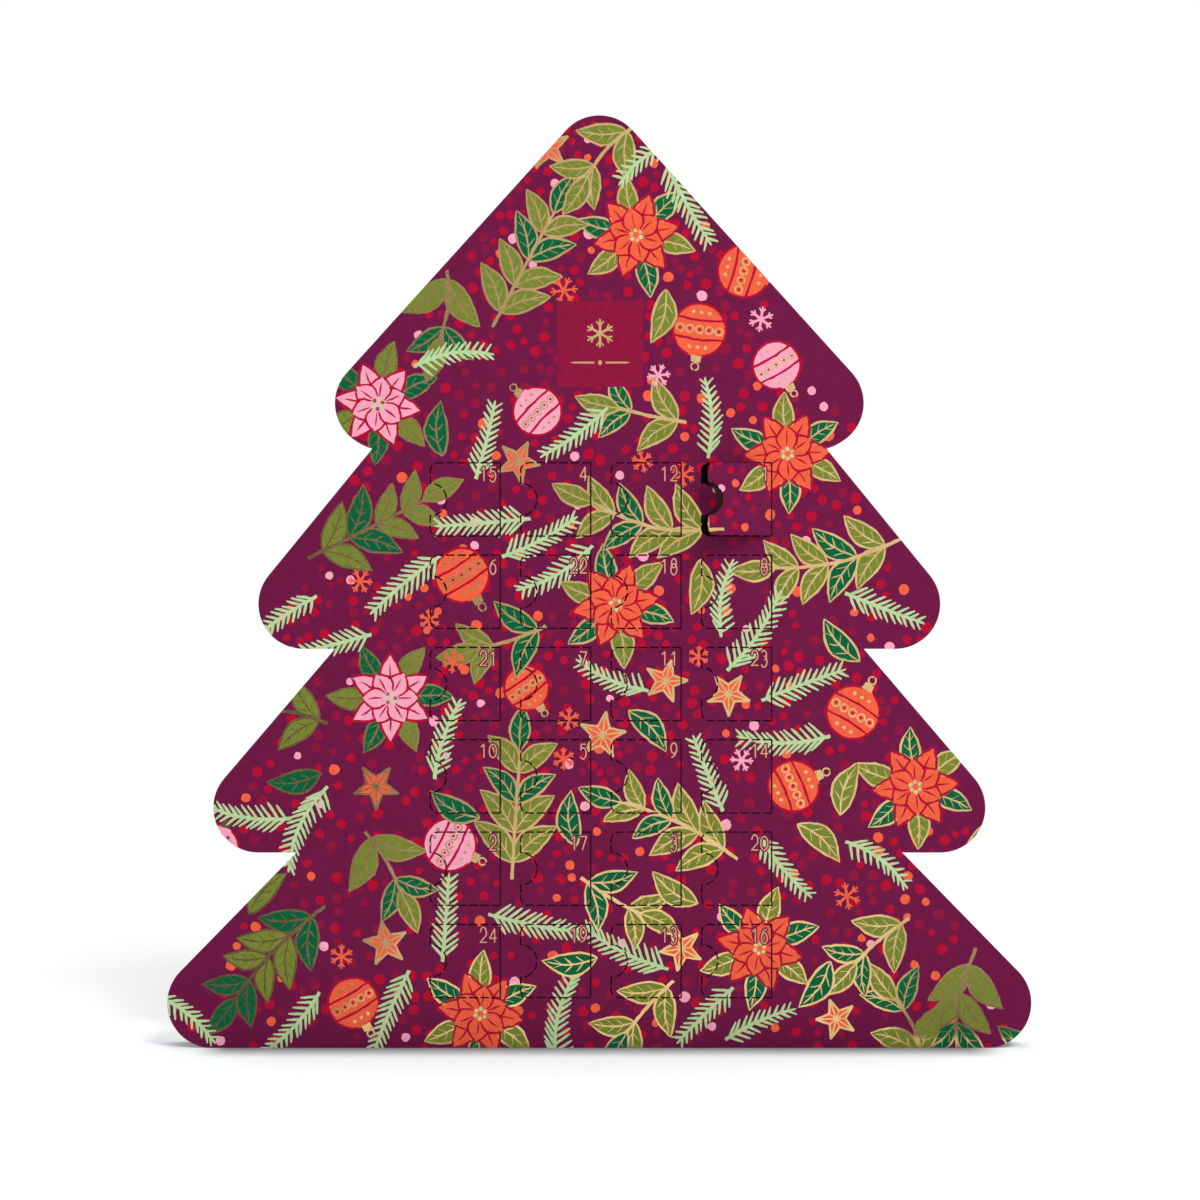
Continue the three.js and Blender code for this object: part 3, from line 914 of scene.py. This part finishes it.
# %% [markdown]
# ## Cut board
#
# A printed board is pale inside, so its cut edges show against the print. Each board is built as
# a closed solid: the flat triangles in front, a strip along every cut, and a plain back. The back
# needs its own triangles, because the artwork's are far finer than a plain face needs. The rim
# runs counterclockwise round the board and clockwise round a doorway, so the two cancel out in
# the winding number of a doorway's middle, and the back stays open there too.

# %% Build a closed board
def smooth_but_sharp(mesh, degrees):
    """Smooth shading that breaks at edges sharper than an angle."""
    mesh.shade_smooth()
    mesh.set_sharp_from_angle(angle=math.radians(degrees))


def placed(name, data):
    """An object that holds a mesh, a lamp or a camera, put in the scene."""
    thing = bpy.data.objects.new(name, data)
    bpy.context.scene.collection.objects.link(thing)
    return thing


def mesh_object(name, places, faces, finishes, materials):
    """A piece from points in millimetres, faces and the number of each face's material."""
    mesh = bpy.data.meshes.new(name)
    mesh.from_pydata([tuple(c * MM for c in p) for p in places], [], faces)
    for material in materials:
        mesh.materials.append(material)
    mesh.polygons.foreach_set("material_index", finishes)
    mesh.update()
    return placed(name, mesh)


def ring_faces(rings, count):
    """Quads between rings of count points each that follow one another in a list."""
    starts = [(r * count + i, r * count + (i + 1) % count)
              for r in range(rings - 1) for i in range(count)]
    return [(a, b, b + count, a + count) for a, b in starts]


def turned_over(faces):
    """The same quads as seen from their other side."""
    return [(a, d, c, b) for a, b, c, d in faces]


def closed_board(points, front, finishes, near, thick, edge, back):
    """Places, faces and finishes of a flat board; edge is a finish or a function of its places."""
    used, faces, finishes = {}, [], [int(f) for f in finishes]
    for corners_of in front.tolist():
        faces.append(tuple(used.setdefault(i, len(used)) for i in corners_of))
    flat = [Vector(points[i]) for i in used]
    directed = {side for f in faces for side in zip(f, f[1:] + f[:1])}
    rim = sorted(side for side in directed if side[::-1] not in directed)
    order = {}
    for side in rim:
        for i in side:
            order.setdefault(i, len(order))
    first_back = len(flat)
    rim_points = [flat[i] for i in order]
    places = [(p.x, near, p.y) for p in flat] + [(p.x, near + thick, p.y) for p in rim_points]
    faces += [(a, first_back + order[a], first_back + order[b], b) for a, b in rim]
    rim_middles = np.array([tuple((flat[a] + flat[b]) / 2) for a, b in rim])
    finishes += edge(rim_middles) if callable(edge) else [edge] * len(rim)
    rim_edges = [(order[a], order[b]) for a, b in rim]
    _, _, triangles, sources, _, _ = delaunay_2d_cdt(rim_points, rim_edges, [], 0, 1e-5)
    back_triangles = np.array([[sources[i][0] for i in f] for f in triangles])
    rim_flat = np.array([tuple(p) for p in rim_points])
    starts, ends = rim_flat[np.array(rim_edges).T]
    own = winding_number(starts, ends, rim_flat[back_triangles].mean(axis=1)) != 0
    for f in back_triangles[own].tolist():
        faces.append(tuple(first_back + i for i in reversed(f)))
        finishes.append(back)
    return places, faces, finishes


def joined(parts):
    """Several sets of places, faces and finishes as one."""
    places, faces, finishes = [], [], []
    for more_places, more_faces, more_finishes in parts:
        shift = len(places)
        places += more_places
        faces += [tuple(i + shift for i in f) for f in more_faces]
        finishes += more_finishes
    return places, faces, finishes


print("board builder ready")

# %% [markdown]
# ## The panel and the doors
#
# At its crease a door isn't cut: the board is squeezed into a thin web that bends. The web is
# built with the panel, a little below the face, in the darkest tone, so that the crease shows as a
# fine closed line of painted shade and no light comes through. Door 1 stands ajar, so its flat
# board is turned about its crease.
# The cut edges of the doors and their doorways are painted near black, as painted shade in the
# cuts. The tree's own edge is sheared clean and stays pale.

# %% Make the panel and the doors
# The last of these finishes is the near black painted shade of the cut edges.
EDGE, INSIDE, CUT_EDGE_SHADE = range(len(INKS), len(INKS) + 3)
# The crease web is coloured in the painted shade tone of the cuts.
WEB_INK = INKS.index("painted_cut_shade")
board_finishes = [*[inks[name] for name in INKS], core, liner, cut_edge_shade]
WEB_NEAR, WEB_FAR = FRONT + 0.2, FRONT + 0.55


def crease_web(crease, foot):
    low, high = crease - HALF_GAP + HAIR, crease + HALF_GAP
    top = foot + DOOR_HEIGHT
    corners_of = [(low, foot), (high, foot), (high, top), (low, top)]
    places = [(x, y, z) for y in (WEB_NEAR, WEB_FAR) for x, z in corners_of]
    faces = [(0, 1, 2, 3), (7, 6, 5, 4), *turned_over(ring_faces(2, 4))]
    return places, faces, [WEB_INK] * len(faces)


def settle(piece, body, nodes):
    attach(piece, body)
    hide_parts(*nodes)


def panel_edge(places):
    """Painted shade on the cut edges within the block of doorways, and pale board round the tree.
    """
    corners_of = np.array([point for points in hole_outlines.values() for point in points])
    low, high = corners_of.min(axis=0) - HAIR, corners_of.max(axis=0) + HAIR
    doorway = ((places > low) & (places < high)).all(axis=1)
    return np.where(doorway, CUT_EDGE_SHADE, EDGE).tolist()


def printed_board(board, edge):
    own = board_of == board
    return closed_board(sheet, sheet_triangles[own], ink_of[own], FRONT, BOARD, edge, INSIDE)


webs = [crease_web(crease, middle - DOOR_HEIGHT / 2) for crease, middle in creases.values()]
front_board = printed_board(PANEL, panel_edge)
panel = mesh_object("printed_front", *joined([front_board, *webs]), board_finishes)
settle(panel, "carton", ["front_panel"])

for value, (crease, middle) in sorted(creases.items()):
    # A door's cut edges are all painted shade.
    flat_door = printed_board(value, CUT_EDGE_SHADE)
    flap = mesh_object(f"printed_door_{value:02d}", *flat_door, board_finishes)
    if value == AJAR_DOOR:
        axis = Matrix.Translation((crease * MM, FRONT * MM, 0))
        flap.data.transform(axis @ Matrix.Rotation(AJAR, 4, "Z") @ axis.inverted())
    settle(flap, f"door_{value:02d}", [f"door_{value:02d}"])
print("panel faces:", len(panel.data.polygons))

# %% [markdown]
# ## The side wall
#
# A band of the same board joins front and back all round. It is printed plum outside and bare
# inside. Its section is the area between the tree's outline and the same outline one board
# further in, found with the same triangulation as the sheet, and drawn out to the carton's
# depth. The glue tabs lie folded in behind the front and before the back.

# %% Side wall with glue tabs
GLUE_GAP = 0.3
SEAM = 0.02
TAB_WIDTH, TAB_MARGIN = 8.0, 6.0
INSIDE_FRONT, INSIDE_BACK = PANEL_BACK + GLUE_GAP, BACK_FRONT - GLUE_GAP
inner_tiers, middle_tiers = tree_outlines(BOARD), tree_outlines(BOARD / 2)
CUT, PRINT, BARE = range(3)
wall_finishes = [core, inks["plum"], liner]


def inside_any(outlines, middles):
    found = np.zeros(len(middles), bool)
    for points in outlines:
        found[lying_in(points, middles)] = True
    return found


def outer_or_inner(places):
    """Print on the outer face of the wall, liner on the inner one."""
    order = np.argsort(places[:, 0])
    inner = np.zeros(len(places), bool)
    inner[order] = inside_any(middle_tiers, places[order])
    return np.where(inner, BARE, PRINT).tolist()


def straight_runs():
    """The foot and each tier's two slants, along the wall's inner face, counterclockwise."""
    right = []
    for outline in inner_tiers:
        start, end = Vector(outline[TIP_STEPS]), Vector(outline[TIP_STEPS + 1])
        if outline is not inner_tiers[-1]:
            end -= (end - start).normalized() * TIER_OVERLAP
        right.append((start, end))
    foot = Vector(inner_tiers[0][0])
    left = [(Vector((-b.x, b.y)), Vector((-a.x, a.y))) for a, b in right]
    return [(Vector((-foot.x, foot.y)), foot), *right, *left]


def glue_tab(start, end, near):
    along = (end - start).normalized()
    inward = Vector((-along.y, along.x))
    slope = TAB_MARGIN + TAB_WIDTH
    inner = inward * TAB_WIDTH
    corners_of = [start + along * TAB_MARGIN, end - along * TAB_MARGIN,
                  end - along * slope + inner, start + along * slope + inner]
    points, front, _ = triangulated([[tuple(p) for p in corners_of]])
    return closed_board(points, front, [BARE] * len(front), near, BOARD, CUT, BARE)


wall_points, wall_triangles, wall_middles = triangulated(tree_tiers + inner_tiers)
band = inside_any(tree_tiers, wall_middles) & ~inside_any(inner_tiers, wall_middles)
wall_near, wall_depth = PANEL_BACK + SEAM, BACK_FRONT - PANEL_BACK - 2 * SEAM
wall_band = closed_board(wall_points, wall_triangles[band], [CUT] * int(band.sum()),
                         wall_near, wall_depth, outer_or_inner, CUT)
tabs = [glue_tab(*run, near) for run in straight_runs()
        for near in (INSIDE_FRONT, INSIDE_BACK - BOARD)]
wall = mesh_object("side_wall_board", *joined([wall_band, *tabs]), wall_finishes)
smooth_but_sharp(wall.data, 30)
settle(wall, "carton", ["side_wall"])
print("wall faces:", len(wall.data.polygons), "tabs:", len(tabs))

# %% [markdown]
# ## The back
#
# The back is the same tree in plain board, unprinted, as nobody sees it on the shelf.

# %% Back panel
back_points, back_triangles, back_middles = triangulated(tree_tiers)
own = inside_any(tree_tiers, back_middles)
SHEARED, LINED, OUTER = range(3)
back_board = closed_board(back_points, back_triangles[own], [LINED] * int(own.sum()),
                          BACK_FRONT, BOARD, SHEARED, OUTER)
back = mesh_object("plain_back", *back_board, [core, liner, plain_back])
settle(back, "carton", ["back_panel"])
print("back faces:", len(back.data.polygons))

# %% [markdown]
# ## The moulded tray
#
# The tray is one sheet of thin plastic, drawn by vacuum into twenty-four pockets. Drawing leaves
# nothing sharp: the rim rolls over into each pocket, the walls lean in by a few degrees so that
# the tray comes off its mould, and a round fillet joins walls and floor. Each skin is a stack of
# rounded rectangles, joined ring to ring. The front and back skins are half a millimetre apart.

# %% Sections of a pocket
MOUTH_MARGIN, MOUTH_CORNER, LEAD_IN, FLOOR_EASE, SHEET = 1.4, 6.0, 1.0, 1.6, 0.5
DRAFT = math.radians(4)
RIM, RIM_CORNER = 5.0, 7.0
POCKET_FLOOR = INSIDE_BACK - SHEET
POCKET_DEPTH = POCKET_FLOOR - INSIDE_FRONT
MOUTH_WIDTH, MOUTH_HEIGHT = DOOR_WIDTH + 2 * MOUTH_MARGIN, DOOR_HEIGHT + 2 * MOUTH_MARGIN
CORNER_STEPS, ROLL_STEPS, FILLET_STEPS = 7, 4, 5


def rounded_rectangle(width, height, radius, steps):
    x, z = width / 2 - radius, height / 2 - radius
    outline = []
    for i, (sx, sz) in enumerate(((1, 1), (-1, 1), (-1, -1), (1, -1))):
        outline += arc(sx * x, sz * z, radius, i * QUARTER, (i + 1) * QUARTER, steps)
    return outline


def mouth_ring(taken):
    """The pocket's mouth taken in by some amount on every side."""
    radius = MOUTH_CORNER - min(taken, MOUTH_CORNER / 2)
    width, height = MOUTH_WIDTH - 2 * taken, MOUTH_HEIGHT - 2 * taken
    return rounded_rectangle(width, height, radius, CORNER_STEPS)


def quarter_turn(steps):
    return [QUARTER * i / steps for i in range(steps + 1)]


def pocket_profile(skin):
    """From the rim down to the floor: how far a skin is taken in, and its plane."""
    roll, bend = LEAD_IN - skin, FLOOR_EASE + skin
    lean = math.tan(DRAFT) * (POCKET_DEPTH - FLOOR_EASE)
    centre = POCKET_FLOOR - FLOOR_EASE
    over = [(-LEAD_IN + roll * math.sin(t), INSIDE_FRONT + LEAD_IN - roll * math.cos(t))
            for t in quarter_turn(ROLL_STEPS)]
    under = [(lean + FLOOR_EASE - bend * math.cos(t), centre + bend * math.sin(t))
             for t in quarter_turn(FILLET_STEPS)]
    return over + under


def skin_of_pocket(centre, skin):
    """One skin of a pocket, ring by ring, with its floor; the faces look toward the door."""
    profile = pocket_profile(skin)
    places = [(x + centre[0], y, z + centre[1])
              for taken, y in profile for x, z in mouth_ring(taken)]
    count = len(places) // len(profile)
    floor = tuple(range(len(places) - count, len(places)))
    return places, [*ring_faces(len(profile), count), floor]


print("profile of a pocket:", [(round(t, 2), round(y, 2)) for t, y in pocket_profile(0)])

# %% Make the tray
pocket_centres = {value: (crease - DOOR_WIDTH / 2, middle)
                  for value, (crease, middle) in creases.items()}
grid = np.array([*pocket_centres.values()])
(left, low), (right, high) = grid.min(axis=0).tolist(), grid.max(axis=0).tolist()
tray_width = right - left + MOUTH_WIDTH + 2 * (LEAD_IN + RIM)
tray_height = high - low + MOUTH_HEIGHT + 2 * (LEAD_IN + RIM)
tray_middle = ((right + left) / 2, (high + low) / 2)


def shifted(points, centre):
    return [(x + centre[0], z + centre[1]) for x, z in points]


rim_shape = rounded_rectangle(tray_width, tray_height, RIM_CORNER, CORNER_STEPS)
rim_outline = shifted(rim_shape, tray_middle)
mouths = [shifted(mouth_ring(-LEAD_IN), centre) for centre in pocket_centres.values()]
rim_points, rim_triangles, rim_middles = triangulated([rim_outline, *mouths])
rim = inside_any([rim_outline], rim_middles) & ~inside_any(mouths, rim_middles)
flat_rim = [tuple(f) for f in rim_triangles[rim].tolist()]
tray_parts = []
for skin, facing in ((0.0, 1), (SHEET, -1)):
    flat = [(x, INSIDE_FRONT + skin, z) for x, z in rim_points]
    pockets = [skin_of_pocket(centre, skin) for centre in pocket_centres.values()]
    for places, faces in [(flat, flat_rim), *pockets]:
        tray_parts.append((places, [f[::facing] for f in faces], [0] * len(faces)))
edge_places = [(x, y, z) for y in (INSIDE_FRONT, INSIDE_FRONT + SHEET) for x, z in rim_outline]
edge_faces = turned_over(ring_faces(2, len(rim_outline)))
tray_parts.append((edge_places, edge_faces, [0] * len(edge_faces)))
print("tray:", round(tray_width, 1), "by", round(tray_height, 1), "mm")

# %% [markdown]
# The sheet is dark brown and glossy, dark enough that the pocket seen past the one door that
# stands ajar reads nearly black: its colour stands in part for the shade in there, as painted
# shade. A vacuum-formed sheet is never quite flat: slow waves run through its reflections, and a
# faint grain breaks them up.

# %% Tray plastic
def tray_plastic():
    material, tree, shader = new_material("brown_plastic")
    wave = object_noise(tree, 14, 2)
    grain = object_noise(tree, 0.6, 3)
    # Dark brown, partly painted shade for the inside of the pockets.
    two_tone(tree, shader, wave, colour(38, 22, 16), colour(56, 34, 25))
    uneven_gloss(tree, shader, grain, 0.12, 0.2)
    relief(tree, shader, [(wave, 0.5, 0.35), (grain, 0.004, 0.2)])
    return material


def welded(mesh, distance_mm):
    """Merges the points that two parts of a mesh share."""
    work = bmesh.new()
    work.from_mesh(mesh)
    bmesh.ops.remove_doubles(work, verts=work.verts, dist=distance_mm * MM)
    work.to_mesh(mesh)
    work.free()


tray = mesh_object("moulded_tray", *joined(tray_parts), [tray_plastic()])
welded(tray.data, 0.002)
smooth_but_sharp(tray.data, 40)
settle(tray, "carton", [f"tray_row_{row}" for row in range(1, 7)])
print("tray faces:", len(tray.data.polygons))

# %% [markdown]
# ## The chocolates
#
# A chocolate is cast in a mould, so its sides lean, its edges are round, and a raised figure
# stands in a shallow frame on its face. The figures are a star, a fir, a heart and a bell. Their
# sides are rounded over in three steps by moving the outline in along its mitres.

# %% Figures
FIGURE_SIZE = 17.0


def star():
    return [(-r * math.sin(i * math.pi / 5), r * math.cos(i * math.pi / 5))
            for i, r in enumerate([0.5, 0.21] * 5)]


def fir():
    right = [(0.07, -0.5), (0.07, -0.36), (0.36, -0.36), (0.16, -0.08),
             (0.27, -0.08), (0.1, 0.2), (0.17, 0.2)]
    return [*right, (0, 0.5), *[(-x, z) for x, z in right[::-1]]]


def heart():
    slant = math.pi / 5
    return [*arc(0.22, 0.2, 0.22, -slant, math.pi, 14),
            *arc(-0.22, 0.2, 0.22, 0, math.pi + slant, 14)[1:], (0, -0.42)]


def bell():
    return [*arc(0, 0.12, 0.22, 0, math.pi, 14), (-0.25, -0.12), (-0.38, -0.3), (-0.12, -0.3),
            *arc(0, -0.3, 0.12, math.pi, math.tau, 10)[1:], (0.38, -0.3), (0.25, -0.12)]


FIGURES = [star, fir, heart, bell]
print("figures:", [len(figure()) for figure in FIGURES], "points")

# %% Make the chocolates
CHOCOLATE_THICKNESS, CHOCOLATE_CLEARANCE, CHOCOLATE_EDGE = 6.5, 0.6, 0.8
CHOCOLATE_DRAFT = math.radians(12)
FRAME_WIDTH, FRAME_SLOPE, FRAME_DEPTH = 1.7, 0.4, 0.35
HEEL, HEEL_TOP, HEEL_WIDEST = 0.25, 1.2, 0.3
SWEET_STEPS = 8
FIGURE_STEPS = [(0, 0.4), (0.1, -0.55), (0.32, -0.85), (0.7, -1.0)]
CHOCOLATE_BACK = POCKET_FLOOR - GLUE_GAP
CHOCOLATE_FACE = CHOCOLATE_BACK - CHOCOLATE_THICKNESS
floor_taken = math.tan(DRAFT) * POCKET_DEPTH + FLOOR_EASE


def ring_stack(rings, centre):
    """A closed solid through rings of (points, plane), from front to back."""
    count = len(rings[0][0])
    places = [(x + centre[0], y, z + centre[1]) for points, y in rings for x, z in points]
    faces = turned_over(ring_faces(len(rings), count))
    caps = [(rings[0][0], 0, 1), (rings[-1][0], len(places) - count, -1)]
    for points, first, facing in caps:
        flat, loop = [Vector(p) for p in points], [list(range(count))]
        _, _, triangles, sources, _, _ = delaunay_2d_cdt(flat, [], loop, 1, TINY)
        faces += [tuple(first + sources[i][0] for i in f)[::facing] for f in triangles]
    return places, faces, [0] * len(faces)


def chocolate_section(taken):
    inset = 2 * (floor_taken + CHOCOLATE_CLEARANCE + taken)
    radius = MOUTH_CORNER / 2 - taken / 2
    return rounded_rectangle(MOUTH_WIDTH - inset, MOUTH_HEIGHT - inset, radius, SWEET_STEPS)


def cast_body(centre):
    lean = math.tan(CHOCOLATE_DRAFT) * (CHOCOLATE_THICKNESS - CHOCOLATE_EDGE)
    frame_edge = lean + CHOCOLATE_EDGE + FRAME_WIDTH
    face, back = CHOCOLATE_FACE, CHOCOLATE_BACK
    rounded = [(lean + CHOCOLATE_EDGE * (1 - math.sin(t)),
                face + CHOCOLATE_EDGE * (1 - math.cos(t))) for t in quarter_turn(ROLL_STEPS)]
    profile = [(frame_edge, face + FRAME_DEPTH), (frame_edge - FRAME_SLOPE, face), *rounded,
               (HEEL, back - HEEL_TOP), (0, back - HEEL_WIDEST), (HEEL, back)]
    return ring_stack([(chocolate_section(taken), y) for taken, y in profile], centre)


def raised_figure(outline, centre):
    points = [(x * FIGURE_SIZE, z * FIGURE_SIZE) for x, z in outline]
    ways = mitres(points)
    rings = []
    for taken, height in reversed(FIGURE_STEPS):
        moved = [(p[0] - w.x * taken, p[1] - w.y * taken) for p, w in zip(points, ways)]
        rings.append((moved, CHOCOLATE_FACE + height))
    return ring_stack(rings, centre)


# %% Chocolate
def cast_chocolate():
    material, tree, shader = new_material("chocolate")
    bloom = object_noise(tree, 7, 5, 0.6)
    grain = object_noise(tree, 0.5, 3)
    # A dark chocolate brown, darkened in part as painted shade, so that the chocolate seen past the
    # door that stands ajar reads nearly black.
    two_tone(tree, shader, bloom, colour(54, 26, 14), colour(74, 40, 23))
    uneven_gloss(tree, shader, bloom, 0.3, 0.46)
    depths = {"Subsurface Weight": 0.04, "Subsurface Radius": (0.002, 0.001, 0.0006)}
    set_inputs(tree, shader, depths)
    relief(tree, shader, [(bloom, 0.15, 0.3), (grain, 0.02, 0.35)])
    return material


brown = cast_chocolate()
for value, centre in sorted(pocket_centres.items()):
    figure = FIGURES[value % len(FIGURES)]()
    cast = joined([cast_body(centre), raised_figure(figure, centre)])
    sweet = mesh_object(f"cast_chocolate_{value:02d}", *cast, [brown])
    smooth_but_sharp(sweet.data, 35)
    settle(sweet, "carton", [f"chocolate_{value:02d}"])
print("faces of a chocolate:", len(sweet.data.polygons))

# %% [markdown]
# ## The studio
#
# The calendar stands on a white sweep under soft light. The floor is an ordinary matt surface
# where the shadow falls, and fades into pure white further out, so that no horizon shows. Along
# the flat of the foot, where hardly any light gets in, an occlusion node darkens it to a fine
# line, which ends where the round tips lift off the floor. The print throws a faint pink on the
# floor before it, so the sweep is a touch cooler there and the two cancel out. The world is white
# to the camera and to mirrors, and gives a gentle fill to everything else.

# %% Floor
FLOOR_REACH = 6.0
FLOOR_GREY = 0.92
FLOOR_LIFT = 0.15
CONTACT_REACH = 0.028
CONTACT_DEPTH = 2.2
COOLER = {"Red": -0.075, "Green": -0.012, "Blue": 0.018}
COOLER_MIDDLE, COOLER_REACH = 0.02, 0.1
FOOT_END = (TIERS[0]["half_width"] - TIP_RADIUS) * MM
FOOT_FADE = 0.009
FADE_START, FADE_END = 0.42, 0.95


def math_node(tree, operation, first, second=0.0):
    node = new_node(tree, "ShaderNodeMath", {0: first, 1: second})
    node.operation = operation
    return node.outputs["Value"]


def eased(tree, value, start, end):
    """A node's result that goes softly from 0 to 1 as a value goes from start to end."""
    low, high = min(start, end), max(start, end)
    node = map_range(tree, value, low, high, float(start > end), float(start < end))
    node.interpolation_type = "SMOOTHSTEP"
    return node.outputs["Result"]


def ray_is(tree, *kinds):
    """1 for a ray of any of these kinds, and else 0."""
    rays = tree.nodes.new("ShaderNodeLightPath").outputs
    found = rays[f"Is {kinds[0]} Ray"]
    for kind in kinds[1:]:
        found = math_node(tree, "MAXIMUM", found, rays[f"Is {kind} Ray"])
    return found


def contact_shade(tree, x):
    """1 on the open floor, and less the closer it lies to the flat foot of the carton."""
    occlusion = new_node(tree, "ShaderNodeAmbientOcclusion", {"Distance": CONTACT_REACH})
    lit = math_node(tree, "POWER", occlusion.outputs["AO"], CONTACT_DEPTH)
    aside = math_node(tree, "ABSOLUTE", x)
    foot = eased(tree, aside, FOOT_END + FOOT_FADE, FOOT_END - FOOT_FADE)
    shade = math_node(tree, "MULTIPLY", math_node(tree, "SUBTRACT", 1.0, lit), foot)
    return math_node(tree, "SUBTRACT", 1.0, shade)


def cooled_grey(tree, near, y):
    """The floor's grey, painted a touch cooler before the print to cancel its pink bounce, and
    painted darker close to the foot as shade.
    """
    away = math_node(tree, "ABSOLUTE", math_node(tree, "ADD", y, COOLER_MIDDLE))
    before = eased(tree, away, COOLER_REACH, 0.0)
    tint = tree.nodes.new("ShaderNodeCombineColor")
    for channel, change in COOLER.items():
        cooled = math_node(tree, "ADD", math_node(tree, "MULTIPLY", before, change), FLOOR_GREY)
        set_inputs(tree, tint, {channel: math_node(tree, "MULTIPLY", near, cooled)})
    return tint.outputs["Color"]


def faded(tree, space, surface, seen):
    """The floor's surface, which turns into pure white away from the middle."""
    distance = new_node(tree, "ShaderNodeVectorMath", {0: space})
    distance.operation = "LENGTH"
    far = eased(tree, distance.outputs["Value"], FADE_START, FADE_END)
    white = new_node(tree, "ShaderNodeEmission", {"Strength": 1.0})
    sweep = new_node(tree, "ShaderNodeMixShader", {
        "Fac": math_node(tree, "MULTIPLY", far, seen),
        1: surface, 2: white.outputs["Emission"]})
    return sweep.outputs["Shader"]


def white_sweep():
    material, tree, shader = new_material("white_sweep")
    space = tree.nodes.new("ShaderNodeTexCoord").outputs["Object"]
    place = new_node(tree, "ShaderNodeSeparateXYZ", {"Vector": space}).outputs
    near = contact_shade(tree, place["X"])
    grey = cooled_grey(tree, near, place["Y"])
    set_inputs(tree, shader, {"Base Color": grey, "Roughness": 0.9, "Specular IOR Level": 0.1})
    seen = ray_is(tree, "Camera", "Glossy")
    lifted = math_node(tree, "MULTIPLY", math_node(tree, "MULTIPLY", seen, FLOOR_LIFT), near)
    lift = new_node(tree, "ShaderNodeEmission", {"Strength": lifted}).outputs["Emission"]
    both = new_node(tree, "ShaderNodeAddShader", {0: shader.outputs["BSDF"], 1: lift})
    surface = faded(tree, space, both.outputs["Shader"], seen)
    set_inputs(tree, tree.nodes["Material Output"], {"Surface": surface})
    return material


def white_floor():
    floor_mesh = bpy.data.meshes.new("floor")
    corners_of = [(sx * FLOOR_REACH, sy * FLOOR_REACH, 0) for sx, sy in CORNER_SIGNS]
    floor_mesh.from_pydata(corners_of, [], [(0, 1, 2, 3)])
    floor_mesh.materials.append(white_sweep())
    floor = placed("floor", floor_mesh)


white_floor()
print("floor ready")

# %% World
WORLD_FILL = 0.44


def studio_world():
    world = bpy.data.worlds.new("studio")
    bpy.context.scene.world = world
    world.use_nodes = True
    tree = world.node_tree
    seen = ray_is(tree, "Camera", "Glossy", "Transmission")
    strength = map_range(tree, seen, 0.0, 1.0, WORLD_FILL, 1.0).outputs["Result"]
    set_inputs(tree, tree.nodes["Background"], {"Color": (1, 1, 1, 1), "Strength": strength})


studio_world()
bpy.context.scene.view_settings.view_transform = "Standard"
print("world ready")

# %% [markdown]
# Foil shows its shape only if it has something dark to mirror. A studio puts black cards beside
# the camera, and so do we. The large one stands to the left and runs on along the floor up to the
# foot, and a small one lies at the right. Only mirrored rays can see them, so that they take no
# light from the floor or the print.

# %% Lamps and cards
def soft_light(name, place, target, size, watts):
    lamp = bpy.data.lights.new(name, "AREA")
    lamp.shape = "RECTANGLE"
    lamp.size, lamp.size_y = size
    lamp.energy = watts
    light = placed(name, lamp)
    light.location = place
    light.rotation_euler = (Vector(target) - Vector(place)).to_track_quat("-Z", "Y").to_euler()


def dark_card(name, corners_of, faces):
    """A flat or folded card that only mirrored rays can see."""
    card_mesh = bpy.data.meshes.new(name)
    card_mesh.from_pydata(corners_of, [], faces)
    material, tree, shader = new_material("black_card")
    set_inputs(tree, shader, {"Base Color": (0.02, 0.018, 0.015, 1), "Roughness": 0.9})
    card_mesh.materials.append(material)
    card = placed(name, card_mesh)
    card.visible_camera = card.visible_diffuse = False
    card.visible_shadow = card.visible_transmission = False


soft_light("key", (0.9, -1.4, 1.8), (0, 0, 0.15), (0.8, 0.8), 33)
soft_light("fill", (-1.4, -1.6, 0.9), (0, 0, 0.2), (1.5, 1.5), 4)
soft_light("overhead", (0, 0.4, 1.9), (0, 0.1, 0), (1.4, 1.0), 12)
LOW, NEAR_FOOT = 0.002, -0.025
dark_card("left_card",
          [(-2.4, -1.5, 1.9), (-0.1, -1.5, 1.9), (-0.1, -1.5, LOW), (-2.4, -1.5, LOW),
           (-0.12, NEAR_FOOT, LOW), (-2.4, NEAR_FOOT, LOW)],
          [(0, 1, 2, 3), (3, 2, 4, 5)])
dark_card("right_card",
          [(0.18, -0.48, LOW), (0.8, -0.48, LOW), (0.8, NEAR_FOOT, LOW), (0.13, NEAR_FOOT, LOW)],
          [(0, 1, 2, 3)])

# %% [markdown]
# ## The camera
#
# The photograph looks straight at the front from table height, so verticals stay parallel. The
# camera is level, aimed at the middle of the picture, and the lens is chosen so that the picture
# is as wide as it was.

# %% Camera
PICTURE_WIDTH = 516.0
PICTURE_CENTRE = (0.3, 192.6)
CAMERA_DISTANCE = 1200.0

camera_data = bpy.data.cameras.new("camera")
camera_data.sensor_width = 36
camera_data.lens = camera_data.sensor_width * CAMERA_DISTANCE / PICTURE_WIDTH
camera = placed("camera", camera_data)
across, up = PICTURE_CENTRE
camera.location = (across * MM, (FRONT - CAMERA_DISTANCE) * MM, up * MM)
camera.rotation_euler = (QUARTER, 0, 0)
bpy.context.scene.camera = camera
print("lens:", round(camera_data.lens, 1), "mm")
